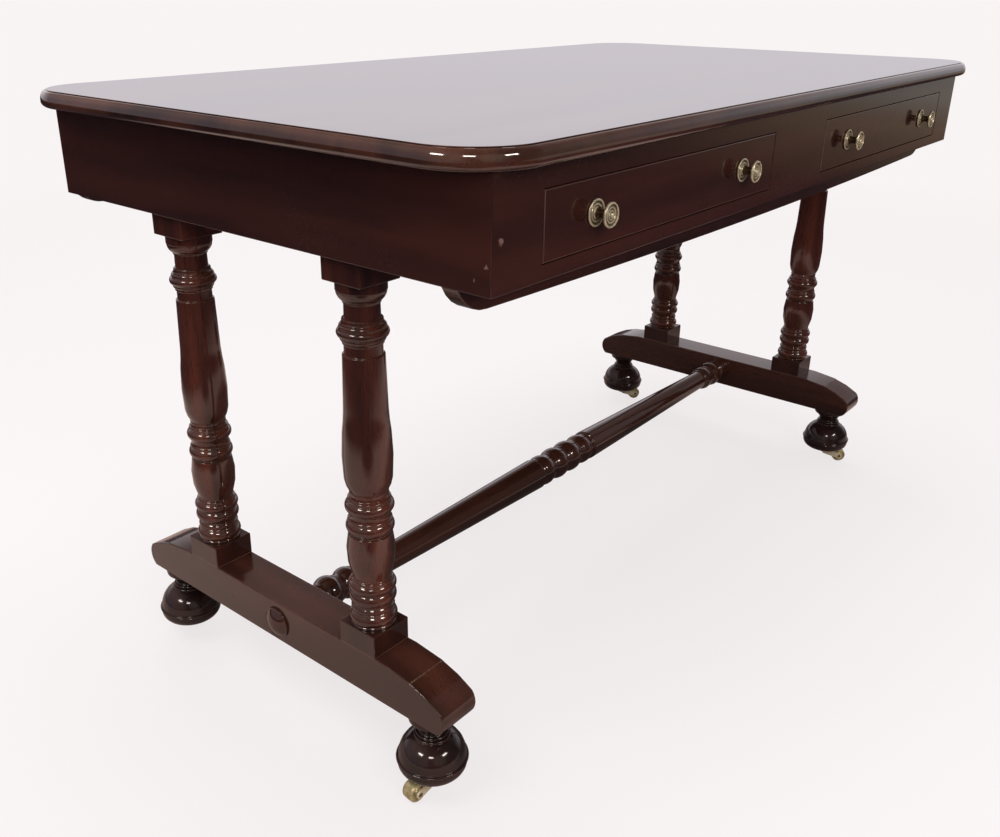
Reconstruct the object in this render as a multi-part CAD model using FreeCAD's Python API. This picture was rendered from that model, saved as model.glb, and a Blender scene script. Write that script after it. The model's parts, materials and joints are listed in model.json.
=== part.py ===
import FreeCAD, Part
import math
import os

# A Victorian library table: a moulded top over a frieze with two drawers, carried by four turned columns
# on two sled feet with bun feet, brass casters and a turned stretcher.
# The origin is on the floor under the middle of the top, +X runs along the table, +Z is up and the
# drawers face -Y. All sizes are millimetres.

# Overall sizes
table_height = 740.0
top_length = 1272.0
top_depth = 712.0
top_thickness = 20.0
end_overhang = 36.0
side_overhang = 21.0
frieze_height = 105.0

# Table top edge
top_corner_radius = 76.0
arris_setback = 7.5
arris_step = 1.2
nose_radius = 9.0

# Frieze boards and rails
frieze_board = 24.0
bottom_rail_height = 15.0
bottom_rail_depth = 63.0
top_rail_height = 23.0
top_rail_depth = 60.0
end_stile_width = 70.0
centre_stile_width = 150.0

# Shaped rails under the frieze
under_rail_thickness = 19.0
under_rail_setback = 37.0
under_rail_height = 30.0
under_rail_run = 56.0
back_under_rail_height = 8.0
back_under_rail_run = 20.0

# Runners, guides and glue blocks inside the frieze
outer_runner_width = 76.0
centre_runner_width = 200.0
guide_thickness = 14.0
guide_height = 26.0
glue_block_side = 28.0
glue_block_length = 60.0
glue_blocks_per_end = 3
glue_blocks_at_back = 5

# Columns and sleds, sawn from square stock
stock = 55.0
end_inset = 8.0
column_setback = 88.0
column_block_height = 26.5
plinth_height = 28.0
tenon_radius = 10.0
top_tenon_length = 15.0
bottom_tenon_length = 30.0
turning_allowance = 0.1

# Sled feet
sled_setback = 64.0
sled_height = 55.0
toe_length = 89.0

# Bun feet
foot_setback = 41.0
foot_height = 80.0
foot_radius = 42.0
spigot_radius = 11.0
spigot_length = 32.0

# Stretcher between the sleds, its bolts and their covers
stretcher_radius = 26.0
stretcher_end_turning = 80.0
stretcher_middle_turning = 72.0
stretcher_tenon_radius = 10.0
stretcher_tenon_length = 16.0
bolt_radius = 4.0
bolt_head_radius = 9.0
bolt_head_height = 5.0
bolt_reach = 60.0
counterbore_radius = 12.0
counterbore_depth = 15.0
cover_radius = 20.0
cover_rim = 2.5
cover_rise = 6.5
cover_spigot = 8.0

# Screws from the runners down into the columns
screw_radius = 2.5
screw_head_radius = 4.5
screw_head_height = 3.0
screw_length = 42.0
screw_offset = 18.0

# Drawers
drawer_front_thickness = 20.0
drawer_back_room = 86.0
drawer_side_thickness = 10.0
drawer_back_thickness = 9.0
drawer_bottom_thickness = 7.0
drawer_front_gap = 1.2
drawer_side_play = 0.4
drawer_slide_gap = 0.05
drawer_side_headroom = 7.0
groove_depth = 5.0
groove_lift = 7.0
dovetail_lap = 6.0
dovetail_count = 3
dovetail_gap = 5.0
dovetail_spread = 2.4

# Brass knobs and backplates
knob_radius = 12.0
knob_reach = 20.0
knob_head_height = 7.5
knob_neck_radius = 4.5
knob_end_distance = 80.0
knob_screw_radius = 2.5
knob_screw_length = 14.0
backplate_radius = 13.0
backplate_thickness = 3.2

# Brass casters
wheel_radius = 12.0
wheel_width = 15.0
caster_trail = 28.0
caster_plate_radius = 18.0
caster_plate_thickness = 2.0
socket_radius = 6.0
socket_length = 30.0
pin_radius = 4.0
pin_length = 28.0
running_gap = 0.05
axle_radius = 2.5
axle_head_radius = 4.2
axle_head_height = 1.0
cheek_thickness = 2.6
cheek_gap = 0.4
cheek_top_radius = 4.5
cheek_axle_radius = 5.2
horn_radius = 10.5
horn_height = 9.0
cheek_drop = 5.2
tread_round = 2.0
hub_radius = 6.5
dish_depth = 1.2

# One overrun for every cut
overrun = 1.0

# Which way each caster trails, in degrees from +X, as the photograph shows them
caster_headings = {"front_left": 174.0, "back_left": 60.0, "front_right": -56.0, "back_right": -34.0}

# Turned outlines. A step is (share of the length, share of the radius, share of the radius by which the
# stretch that ends there bulges). A stretch with no bulge is straight, and a hollow one is negative.
column_shares = (
    (0.0, 0.92, 0.0), (0.04, 0.92, 0.077), (0.045, 0.865, 0.0), (0.063, 0.865, 0.045),
    (0.07, 0.835, 0.0), (0.075, 0.88, 0.0), (0.108, 0.92, 0.085), (0.111, 0.89, 0.0),
    (0.146, 0.885, 0.105), (0.151, 0.8, 0.0), (0.287, 0.9, 0.14), (0.291, 0.835, 0.0),
    (0.296, 0.87, 0.0), (0.335, 0.895, 0.11), (0.358, 0.895, -0.05), (0.398, 0.86, 0.115),
    (0.405, 0.775, 0.0), (0.417, 0.77, 0.0), (0.455, 0.955, 0.03), (0.588, 0.95, 0.045),
    (0.652, 0.865, -0.012), (0.806, 0.81, 0.0), (0.809, 0.735, 0.0), (0.834, 0.735, 0.0),
    (0.838, 0.81, 0.0), (0.846, 0.845, 0.0), (0.853, 0.88, 0.0), (0.875, 0.92, 0.085),
    (0.897, 0.775, -0.03), (0.902, 0.675, 0.0), (0.943, 0.675, 0.0), (0.945, 0.71, 0.0),
    (0.977, 0.96, 0.055), (1.0, 0.96, 0.0),
)
foot_shares = (
    (0.0, 0.66, 0.0), (0.21, 0.985, 0.1), (0.26, 0.985, 0.012), (0.64, 0.455, 0.1),
    (0.65, 0.43, 0.0), (0.7, 0.41, 0.03), (0.72, 0.365, 0.0), (0.885, 0.57, -0.03),
    (0.893, 0.625, 0.0), (1.0, 0.64, 0.01),
)
stretcher_end_shares = (
    (0.0, 0.74, 0.0), (0.1, 0.74, 0.035), (0.13, 0.645, 0.0), (0.16, 0.7, 0.0), (0.53, 0.7, 0.175),
    (0.56, 0.665, 0.0), (0.61, 0.665, 0.0), (0.64, 0.73, 0.0), (0.86, 0.73, 0.085), (0.9, 0.64, 0.0),
    (1.0, 0.64, 0.0),
)
stretcher_middle_shares = (
    (0.0, 0.925, 0.142), (0.03, 0.8, 0.0), (0.08, 0.8, 0.0), (0.11, 0.835, 0.0), (0.44, 0.835, 0.055),
    (0.47, 0.775, 0.0), (0.52, 0.775, 0.0), (0.55, 0.82, 0.0), (0.96, 0.82, 0.145), (1.0, 0.76, 0.0),
)
knob_head_shares = (
    (0.0, 0.4, 0.0), (0.4, 0.98, -0.08), (0.75, 0.98, 0.05), (0.87, 0.86, 0.0), (0.8, 0.78, 0.0),
    (0.8, 0.62, 0.0), (1.0, 0.5, 0.02), (1.0, 0.2, 0.0), (0.9, 0.0, 0.0),
)
backplate_shares = (
    (0.0, 1.0, 0.0), (0.35, 1.0, 0.0), (0.6, 0.84, 0.05), (0.5, 0.76, 0.0), (0.95, 0.52, 0.03),
    (1.0, 0.4, 0.0),
)

# The toe of a sled: shares of the toe's length and of the sled's height, from the flat to the floor side
toe_slope_share = (0.38, 0.927)
toe_crease_share = (0.38, 0.914)
toe_crown_share = (0.71, 0.77)
toe_shoulder_share = (0.944, 0.573)
toe_tip_share = (1.0, 0.35)
toe_heel_share = (0.9, 0.0)

# Places worked out from the sizes above
half_length = top_length / 2 - end_overhang
half_depth = top_depth / 2 - side_overhang
top_underside = table_height - top_thickness
frieze_bottom = top_underside - frieze_height
opening_bottom = frieze_bottom + bottom_rail_height
opening_top = top_underside - top_rail_height
opening_inner = centre_stile_width / 2
opening_outer = half_length - end_stile_width
inner_end = half_length - frieze_board
inner_side = half_depth - frieze_board
column_x = half_length - end_inset - stock / 2
sled_length = 2 * (half_depth - sled_setback)
foot_y = sled_length / 2 - foot_setback
column_y = foot_y - column_setback
block_bottom = frieze_bottom - column_block_height
foot_bottom = 2 * wheel_radius + 2 * caster_plate_thickness
sled_bottom = foot_bottom + foot_height
sled_top = sled_bottom + sled_height
plinth_top = sled_top + plinth_height
sled_inner = column_x - stock / 2
sled_outer = column_x + stock / 2
stretcher_z = sled_bottom + sled_height * 0.48
toe_start = sled_length / 2 - toe_length
front_face = -half_depth
plate_bottom = foot_bottom - caster_plate_thickness

corners = {
    "front_left": (-1, -1), "back_left": (-1, 1), "front_right": (1, -1), "back_right": (1, 1),
}

up = FreeCAD.Vector(0, 0, 1)
along_x = FreeCAD.Vector(1, 0, 0)
along_y = FreeCAD.Vector(0, 1, 0)
origin = FreeCAD.Vector(0, 0, 0)


def box(x_range, y_range, z_range):
    """A box between two places on each axis."""
    sizes = [high - low for low, high in (x_range, y_range, z_range)]
    return Part.makeBox(*sizes, FreeCAD.Vector(x_range[0], y_range[0], z_range[0]))


def prism(points, bottom, top):
    """A flat outline in X and Y, raised from one height to another."""
    corner_points = [FreeCAD.Vector(x, y, bottom) for x, y in points]
    face = Part.Face(Part.makePolygon(corner_points + corner_points[:1]))
    return face.extrude(FreeCAD.Vector(0, 0, top - bottom))


def rod(radius, start, end):
    """A round rod from one point to another."""
    direction = end - start
    return Part.makeCylinder(radius, direction.Length, start, direction)


def bulged_edge(start, end, bulge):
    """A straight edge, or an arc that stands out from it by the bulge, away from the turning axis."""
    if bulge == 0:
        return Part.LineSegment(start, end).toShape()
    chord = end - start
    outward = FreeCAD.Vector(chord.z, 0, -chord.x).normalize()
    middle = (start + end) * 0.5 + outward * bulge
    return Part.Arc(start, middle, end).toShape()


def turned(steps, length, radius):
    """A solid turned about the Z axis from the shares of its outline, standing on zero."""
    points = [FreeCAD.Vector(radius_share * radius, 0, share * length) for share, radius_share, _ in steps]
    edges = []
    if points[0].x > 0:
        edges.append(bulged_edge(FreeCAD.Vector(0, 0, points[0].z), points[0], 0))
    for (_, _, bulge_share), start, end in zip(steps[1:], points, points[1:]):
        edges.append(bulged_edge(start, end, bulge_share * radius))
    top_centre = FreeCAD.Vector(0, 0, points[-1].z)
    if points[-1].x > 0:
        edges.append(bulged_edge(points[-1], top_centre, 0))
    edges.append(bulged_edge(top_centre, FreeCAD.Vector(0, 0, points[0].z), 0))
    face = Part.Face(Part.Wire(edges))
    return face.revolve(origin, up, 360)


def moved(shape, x, y, z):
    """The shape moved by a distance along each axis."""
    copy = shape.copy()
    copy.translate(FreeCAD.Vector(x, y, z))
    return copy


def turned_over(shape, axis, angle):
    """The shape turned about an axis through the origin."""
    copy = shape.copy()
    copy.rotate(origin, axis, angle)
    return copy


def mirrored(shape, normal):
    """The shape's mirror image in the plane through the origin with this normal."""
    return shape.mirror(origin, normal)


def one_solid(shape):
    """The single solid of a shape, with needless seams between its faces removed."""
    cleaned = shape.removeSplitter()
    return cleaned.Solids[0] if len(cleaned.Solids) == 1 else cleaned


def rounded_board(half_x, half_y, radius, bottom, top):
    """A board with round corners."""
    board = box((-half_x, half_x), (-half_y, half_y), (bottom, top))
    uprights = [edge for edge in board.Edges if abs(edge.tangentAt(edge.FirstParameter).z) > 0.5]
    return board.makeFillet(radius, uprights)


def table_top():
    """The top: a flat field that stands a little higher than the round nose along its edge."""
    half_x = top_length / 2
    half_y = top_depth / 2
    nose = rounded_board(half_x, half_y, top_corner_radius, top_underside, table_height - arris_step)
    rims = [edge for edge in nose.Edges if abs(edge.tangentAt(edge.FirstParameter).z) < 0.5]
    nose = nose.makeFillet(nose_radius, rims)
    field = rounded_board(half_x - arris_setback, half_y - arris_setback, top_corner_radius - arris_setback,
                          top_underside + nose_radius, table_height)
    return one_solid(nose.fuse(field))


def frieze_end():
    """The left end board, mitred at both corners."""
    points = [(-half_length, -half_depth), (-inner_end, -inner_side),
              (-inner_end, inner_side), (-half_length, half_depth)]
    return prism(points, frieze_bottom, top_underside)


def frieze_back():
    """The back board, mitred at both corners."""
    points = [(-half_length, half_depth), (-inner_end, inner_side),
              (inner_end, inner_side), (half_length, half_depth)]
    return prism(points, frieze_bottom, top_underside)


def front_rail(depth, bottom, top):
    """A rail along the whole front, mitred where it shows and deeper inside."""
    points = [(-half_length, front_face), (half_length, front_face), (inner_end, -inner_side),
              (inner_end, front_face + depth), (-inner_end, front_face + depth), (-inner_end, -inner_side)]
    return prism(points, bottom, top)


def end_stile():
    """The upright at the left of the drawers, mitred to the end board."""
    points = [(-half_length, front_face), (-opening_outer, front_face),
              (-opening_outer, -inner_side), (-inner_end, -inner_side)]
    return prism(points, opening_bottom, opening_top)


def centre_stile():
    """The upright between the two drawers."""
    return box((-opening_inner, opening_inner), (front_face, -inner_side), (opening_bottom, opening_top))


def under_rail(front, height, run):
    """A rail under the frieze, with an arc at each end that runs up to the frieze."""
    end_x = half_length
    bottom = frieze_bottom - height
    arc_radius = (run ** 2 + height ** 2) / (2 * height)
    half_turn = math.atan2(run, arc_radius - height) / 2
    middle_x = end_x - run + arc_radius * math.sin(half_turn)
    middle_z = bottom + arc_radius * (1 - math.cos(half_turn))
    right_top = FreeCAD.Vector(end_x, front, frieze_bottom)
    right_middle = FreeCAD.Vector(middle_x, front, middle_z)
    right_bottom = FreeCAD.Vector(end_x - run, front, bottom)
    left_top = FreeCAD.Vector(-end_x, front, frieze_bottom)
    left_middle = FreeCAD.Vector(-middle_x, front, middle_z)
    left_bottom = FreeCAD.Vector(run - end_x, front, bottom)
    edges = [Part.LineSegment(left_top, right_top).toShape(),
             Part.Arc(right_top, right_middle, right_bottom).toShape(),
             Part.LineSegment(right_bottom, left_bottom).toShape(),
             Part.Arc(left_bottom, left_middle, left_top).toShape()]
    face = Part.Face(Part.Wire(edges))
    return face.extrude(FreeCAD.Vector(0, under_rail_thickness, 0))


def column_tenon(x, y):
    """The round tenon on top of a column, which fills its hole in the runner."""
    return rod(tenon_radius, FreeCAD.Vector(x, y, frieze_bottom),
               FreeCAD.Vector(x, y, frieze_bottom + top_tenon_length))


def column_screw(x, y):
    """A screw from the top of the runner down into a column's block."""
    top = FreeCAD.Vector(x, y, opening_bottom)
    under_head = FreeCAD.Vector(x, y, opening_bottom - screw_head_height)
    tip = FreeCAD.Vector(x, y, opening_bottom - screw_length)
    return rod(screw_head_radius, under_head, top).fuse(rod(screw_radius, tip, under_head))


def screw_places():
    """The X and Y of every column screw."""
    places = []
    for side_x, side_y in corners.values():
        for offset in (-screw_offset, screw_offset):
            places.append((side_x * column_x, side_y * column_y + offset))
    return places


def column_screws():
    """All the column screws."""
    return Part.Compound([one_solid(column_screw(x, y)) for x, y in screw_places()])


def outer_runner():
    """The left runner, which carries a drawer's outer side and seats two columns."""
    back = inner_side
    board = box((-inner_end, -inner_end + outer_runner_width),
                (front_face + bottom_rail_depth, back), (frieze_bottom, opening_bottom))
    tenons = [column_tenon(-column_x, side_y * column_y) for side_y in (-1, 1)]
    screws = [column_screw(x, y) for x, y in screw_places() if x < 0]
    return one_solid(board.cut(tenons + screws))


def centre_runner():
    """The runner under the inner sides of both drawers."""
    half_width = centre_runner_width / 2
    return box((-half_width, half_width), (front_face + bottom_rail_depth, inner_side),
               (frieze_bottom, opening_bottom))


def drawer_guides():
    """Four strips beside the drawers, standing on the runners."""
    stile_back = -inner_side
    guides = []
    for face, away in ((opening_outer, 1), (opening_inner, -1)):
        near = face - away * drawer_front_gap + away * drawer_side_play
        far = near + away * guide_thickness
        x_range = (min(near, far), max(near, far))
        guide = box(x_range, (stile_back, inner_side), (opening_bottom, opening_bottom + guide_height))
        guides += [guide, mirrored(guide, along_x)]
    return Part.Compound(guides)


def glue_block(length):
    """A three-sided block along Y, with its square corner up and to the left."""
    points = [FreeCAD.Vector(0, -length / 2, 0), FreeCAD.Vector(glue_block_side, -length / 2, 0),
              FreeCAD.Vector(0, -length / 2, -glue_block_side)]
    return Part.Face(Part.makePolygon(points + points[:1])).extrude(FreeCAD.Vector(0, length, 0))


def glue_blocks():
    """The blocks under the top, along both ends and the back of the frieze."""
    block = glue_block(glue_block_length)
    blocks = []
    end_step = 2 * inner_side / glue_blocks_per_end
    for index in range(glue_blocks_per_end):
        y = -inner_side + end_step * (index + 0.5)
        left = moved(block, -inner_end, y, top_underside)
        blocks += [left, mirrored(left, along_x)]
    back_block = turned_over(block, up, -90)
    back_step = 2 * inner_end / glue_blocks_at_back
    for index in range(glue_blocks_at_back):
        x = -inner_end + back_step * (index + 0.5)
        blocks.append(moved(back_block, x, inner_side, top_underside))
    return Part.Compound(blocks)


def square_block(x, y, bottom, top):
    """A square block of the stock about a place."""
    half = stock / 2
    return box((x - half, x + half), (y - half, y + half), (bottom, top))


def column(x, y):
    """A turned column with a square block at each end and a tenon beyond each block."""
    turning_length = block_bottom - plinth_top
    turning = turned(column_shares, turning_length, stock / 2 - turning_allowance)
    turning = moved(turning, x, y, plinth_top)
    plinth = square_block(x, y, sled_top, plinth_top)
    block = square_block(x, y, block_bottom, frieze_bottom)
    foot_tenon = rod(tenon_radius, FreeCAD.Vector(x, y, sled_top - bottom_tenon_length),
                     FreeCAD.Vector(x, y, sled_top))
    whole = turning.fuse([plinth, block, column_tenon(x, y), foot_tenon])
    screws = [column_screw(screw_x, screw_y) for screw_x, screw_y in screw_places()
              if abs(screw_x - x) < stock and abs(screw_y - y) < stock]
    return one_solid(whole.cut(screws))


def sled_point(share, side):
    """A point of the toe's outline on the left face of a sled."""
    y = side * (toe_start + share[0] * toe_length)
    return FreeCAD.Vector(-stock / 2, y, sled_bottom + share[1] * sled_height)


def sled_outline():
    """The sawn outline of a sled, closed, on the left face."""
    edges = []
    for side in (1, -1):
        flat_end = FreeCAD.Vector(-stock / 2, side * toe_start, sled_top)
        slope = sled_point(toe_slope_share, side)
        crease = sled_point(toe_crease_share, side)
        shoulder = sled_point(toe_shoulder_share, side)
        heel = sled_point(toe_heel_share, side)
        edges += [Part.LineSegment(flat_end, slope).toShape(), Part.LineSegment(slope, crease).toShape(),
                  Part.Arc(crease, sled_point(toe_crown_share, side), shoulder).toShape(),
                  Part.Arc(shoulder, sled_point(toe_tip_share, side), heel).toShape()]
    flat_ends = [FreeCAD.Vector(-stock / 2, side * toe_start, sled_top) for side in (1, -1)]
    heels = [sled_point(toe_heel_share, side) for side in (1, -1)]
    edges += [Part.LineSegment(*flat_ends).toShape(), Part.LineSegment(*heels).toShape()]
    return Part.Wire(Part.__sortEdges__(edges))


def sled():
    """The left sled foot with its sockets for the columns, bun feet, stretcher and bolt."""
    blank = Part.Face(sled_outline()).extrude(FreeCAD.Vector(stock, 0, 0))
    blank = moved(blank, -column_x, 0, 0)
    holes = []
    for side in (-1, 1):
        socket_y = side * column_y
        holes.append(rod(tenon_radius, FreeCAD.Vector(-column_x, socket_y, sled_top - bottom_tenon_length),
                         FreeCAD.Vector(-column_x, socket_y, sled_top + overrun)))
        spigot_y = side * foot_y
        holes.append(rod(spigot_radius, FreeCAD.Vector(-column_x, spigot_y, sled_bottom - overrun),
                         FreeCAD.Vector(-column_x, spigot_y, sled_bottom + spigot_length)))
    face = FreeCAD.Vector(-sled_outer, 0, stretcher_z)
    inner = FreeCAD.Vector(-sled_inner, 0, stretcher_z)
    holes.append(rod(counterbore_radius, face - along_x * overrun, face + along_x * counterbore_depth))
    holes.append(rod(bolt_radius, face, inner))
    holes.append(rod(stretcher_tenon_radius, inner - along_x * stretcher_tenon_length,
                     inner + along_x * overrun))
    return one_solid(blank.cut(holes))


def bun_foot(x, y):
    """A turned bun foot with a spigot above and a bore below for the caster's socket."""
    body = moved(turned(foot_shares, foot_height, foot_radius), x, y, foot_bottom)
    spigot = rod(spigot_radius, FreeCAD.Vector(x, y, sled_bottom),
                 FreeCAD.Vector(x, y, sled_bottom + spigot_length))
    bore = rod(socket_radius, FreeCAD.Vector(x, y, foot_bottom - overrun),
               FreeCAD.Vector(x, y, foot_bottom + socket_length))
    return one_solid(body.fuse(spigot).cut(bore))


def stretcher_steps():
    """The outline of half the stretcher, from its shoulder at the sled to its middle."""
    half = sled_inner
    steps = [(share * stretcher_end_turning / half, radius_share, bulge)
             for share, radius_share, bulge in stretcher_end_shares]
    middle_start = half - stretcher_middle_turning
    steps += [((middle_start + share * stretcher_middle_turning) / half, radius_share, bulge)
              for share, radius_share, bulge in stretcher_middle_shares]
    return steps


def stretcher():
    """The turned stretcher with its end tenons and the bores for its bolts."""
    half = moved(turned(stretcher_steps(), sled_inner, stretcher_radius), 0, 0, -sled_inner)
    tenon = rod(stretcher_tenon_radius, FreeCAD.Vector(0, 0, -sled_inner - stretcher_tenon_length),
                FreeCAD.Vector(0, 0, -sled_inner))
    bore_end = bolt_reach - sled_inner - stretcher_tenon_length
    bore = rod(bolt_radius, FreeCAD.Vector(0, 0, -sled_inner - stretcher_tenon_length - overrun),
               FreeCAD.Vector(0, 0, bore_end))
    left = turned_over(half.fuse(tenon).cut(bore), along_y, 90)
    left = moved(left, 0, 0, stretcher_z)
    return one_solid(left.fuse(mirrored(left, along_x)))


def stretcher_bolts():
    """The two bolts, each with its head in the counterbore of a sled."""
    head_start = FreeCAD.Vector(-sled_outer + counterbore_depth, 0, stretcher_z)
    tip = FreeCAD.Vector(bolt_reach - sled_inner - stretcher_tenon_length, 0, stretcher_z)
    head = rod(bolt_head_radius, head_start - along_x * bolt_head_height, head_start)
    bolt = one_solid(head.fuse(rod(bolt_radius, head_start, tip)))
    return Part.Compound([bolt, mirrored(bolt, along_x)])


def bolt_covers():
    """The two turned buttons that hide the bolt heads."""
    crown_radius = (cover_radius ** 2 + cover_rise ** 2) / (2 * cover_rise)
    rim = rod(cover_radius, origin, up * cover_rim)
    ball = Part.makeSphere(crown_radius, up * (cover_rim + cover_rise - crown_radius))
    slab = rod(cover_radius, up * cover_rim, up * (cover_rim + cover_rise + overrun))
    spigot = rod(counterbore_radius, up * -cover_spigot, origin)
    cover = one_solid(rim.fuse([ball.common(slab), spigot]))
    left = moved(turned_over(cover, along_y, -90), -sled_outer, 0, stretcher_z)
    return Part.Compound([left, mirrored(left, along_x)])


def dovetail(x_range, middle, height):
    """One tail of a drawer side, wider at its end, as it lies in the drawer front."""
    start = front_face + drawer_front_thickness
    end = front_face + dovetail_lap
    half = height / 2
    wide = half + dovetail_spread
    points = [FreeCAD.Vector(x_range[0], start, middle - half), FreeCAD.Vector(x_range[0], end, middle - wide),
              FreeCAD.Vector(x_range[0], end, middle + wide), FreeCAD.Vector(x_range[0], start, middle + half)]
    face = Part.Face(Part.makePolygon(points + points[:1]))
    return face.extrude(FreeCAD.Vector(x_range[1] - x_range[0], 0, 0))


def drawer():
    """The five wooden pieces of the left drawer."""
    front_x = (-opening_outer + drawer_front_gap, -opening_inner - drawer_front_gap)
    front_z = (opening_bottom + drawer_front_gap, opening_top - drawer_front_gap)
    front_y = (front_face, front_face + drawer_front_thickness)
    side_z = (opening_bottom + drawer_slide_gap, opening_top - drawer_side_headroom)
    side_y = (front_y[1], inner_side - drawer_back_room)
    outer_x = (front_x[0], front_x[0] + drawer_side_thickness)
    inner_x = (front_x[1] - drawer_side_thickness, front_x[1])
    bottom_z = (side_z[0] + groove_lift, side_z[0] + groove_lift + drawer_bottom_thickness)
    bottom_x = (outer_x[1] - groove_depth, inner_x[0] + groove_depth)
    bottom = box(bottom_x, (front_y[1] - groove_depth, side_y[1]), bottom_z)
    back = box((outer_x[1], inner_x[0]), (side_y[1] - drawer_back_thickness, side_y[1]),
               (bottom_z[1], side_z[1]))
    tail_pitch = (side_z[1] - front_z[0]) / dovetail_count
    tail_height = tail_pitch - dovetail_gap - 2 * dovetail_spread
    pieces = {"front": box(front_x, front_y, front_z), "back": back, "bottom": bottom}
    for name, x_range in (("side_outer", outer_x), ("side_inner", inner_x)):
        middles = [front_z[0] + tail_pitch * (index + 0.5) for index in range(dovetail_count)]
        tails = [dovetail(x_range, middle, tail_height) for middle in middles]
        board = box(x_range, side_y, side_z)
        pieces[name] = one_solid(board.fuse(tails).cut(bottom))
        pieces["front"] = pieces["front"].cut(tails)
    screw_holes = [rod(knob_screw_radius, place, place + along_y * knob_screw_length)
                   for place in knob_places().values()]
    pieces["front"] = one_solid(pieces["front"].cut(screw_holes + [bottom]))
    return pieces


def knob_places():
    """The places of the left drawer's knobs on the front face."""
    z = (opening_bottom + opening_top) / 2
    outer = FreeCAD.Vector(-opening_outer + knob_end_distance, front_face, z)
    inner = FreeCAD.Vector(-opening_inner - knob_end_distance, front_face, z)
    return {"outer": outer, "inner": inner}


def knob(place):
    """A turned knob with its neck and the screw that holds it."""
    head = moved(turned(knob_head_shares, knob_head_height, knob_radius), 0, 0,
                 knob_reach - knob_head_height)
    neck = rod(knob_neck_radius, origin, up * (knob_reach - knob_head_height + running_gap))
    screw = rod(knob_screw_radius, up * -knob_screw_length, origin)
    whole = one_solid(head.fuse([neck, screw]))
    return moved(turned_over(whole, along_x, 90), place.x, place.y, place.z)


def backplate(place):
    """A round backplate, pierced for the knob's neck."""
    disc = turned(backplate_shares, backplate_thickness, backplate_radius)
    pierced = disc.cut(rod(knob_neck_radius, up * -overrun, up * (backplate_thickness + overrun)))
    return moved(turned_over(one_solid(pierced), along_x, 90), place.x, place.y, place.z)


def caster_plate(x, y):
    """A caster's plate and socket, fixed in a bun foot."""
    plate = rod(caster_plate_radius, FreeCAD.Vector(x, y, plate_bottom), FreeCAD.Vector(x, y, foot_bottom))
    tube = rod(socket_radius, FreeCAD.Vector(x, y, foot_bottom),
               FreeCAD.Vector(x, y, foot_bottom + socket_length))
    bore = rod(pin_radius + running_gap, FreeCAD.Vector(x, y, plate_bottom - overrun),
               FreeCAD.Vector(x, y, foot_bottom + pin_length))
    return one_solid(plate.fuse(tube).cut(bore))


def link_plate(start, start_radius, end, end_radius, y_range):
    """A flat plate with round ends of two sizes, its long edges tangent to both."""
    span = end - start
    lean = math.degrees(math.acos((start_radius - end_radius) / span.Length))
    direction = span.normalize()
    start = FreeCAD.Vector(start.x, y_range[0], start.z)
    end = FreeCAD.Vector(end.x, y_range[0], end.z)
    upper = FreeCAD.Rotation(along_y, -lean).multVec(direction)
    lower = FreeCAD.Rotation(along_y, lean).multVec(direction)
    edges = [Part.LineSegment(start + upper * start_radius, end + upper * end_radius).toShape(),
             Part.Arc(end + upper * end_radius, end + direction * end_radius,
                      end + lower * end_radius).toShape(),
             Part.LineSegment(end + lower * end_radius, start + lower * start_radius).toShape(),
             Part.Arc(start + lower * start_radius, start - direction * start_radius,
                      start + upper * start_radius).toShape()]
    return Part.Face(Part.Wire(edges)).extrude(FreeCAD.Vector(0, y_range[1] - y_range[0], 0))


def caster_horn():
    """A horn that trails along +X from its pin at the origin."""
    top = plate_bottom - running_gap
    body = rod(horn_radius, up * (top - horn_height), up * top)
    pin = rod(pin_radius, up * top, up * (foot_bottom + pin_length - running_gap))
    hip = FreeCAD.Vector(0, 0, top - cheek_drop)
    axle = FreeCAD.Vector(caster_trail, 0, wheel_radius)
    inside = wheel_width / 2 + cheek_gap
    cheek = link_plate(hip, cheek_top_radius, axle, cheek_axle_radius, (inside, inside + cheek_thickness))
    hole = rod(axle_radius, axle - along_y * stock, axle + along_y * stock)
    return one_solid(body.fuse([pin, cheek, mirrored(cheek, along_y)]).cut(hole))


def caster_axle():
    """The riveted pin through a horn's cheeks, with its heads."""
    reach = wheel_width / 2 + cheek_gap + cheek_thickness
    centre = FreeCAD.Vector(caster_trail, 0, wheel_radius)
    shaft = rod(axle_radius, centre - along_y * reach, centre + along_y * reach)
    heads = [rod(axle_head_radius, centre + along_y * side * reach,
                 centre + along_y * side * (reach + axle_head_height)) for side in (-1, 1)]
    return one_solid(shaft.fuse(heads))


def caster_wheel():
    """A brass wheel with a round tread, dished faces and a raised hub."""
    centre = FreeCAD.Vector(caster_trail, 0, wheel_radius)
    half = along_y * (wheel_width / 2)
    tyre = rod(wheel_radius, centre - half, centre + half)
    tyre = tyre.makeFillet(tread_round, [edge for edge in tyre.Edges if len(edge.Vertexes) == 1])
    cuts = [rod(axle_radius + running_gap, centre - half - along_y * overrun,
                centre + half + along_y * overrun)]
    for side in (-1, 1):
        dish_floor = centre + half * side - along_y * side * dish_depth
        dish_top = centre + half * side + along_y * side * overrun
        dish = rod(wheel_radius - 2 * tread_round, dish_floor, dish_top)
        cuts.append(dish.cut(rod(hub_radius, dish_floor, dish_top)))
    return one_solid(tyre.cut(cuts))


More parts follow.
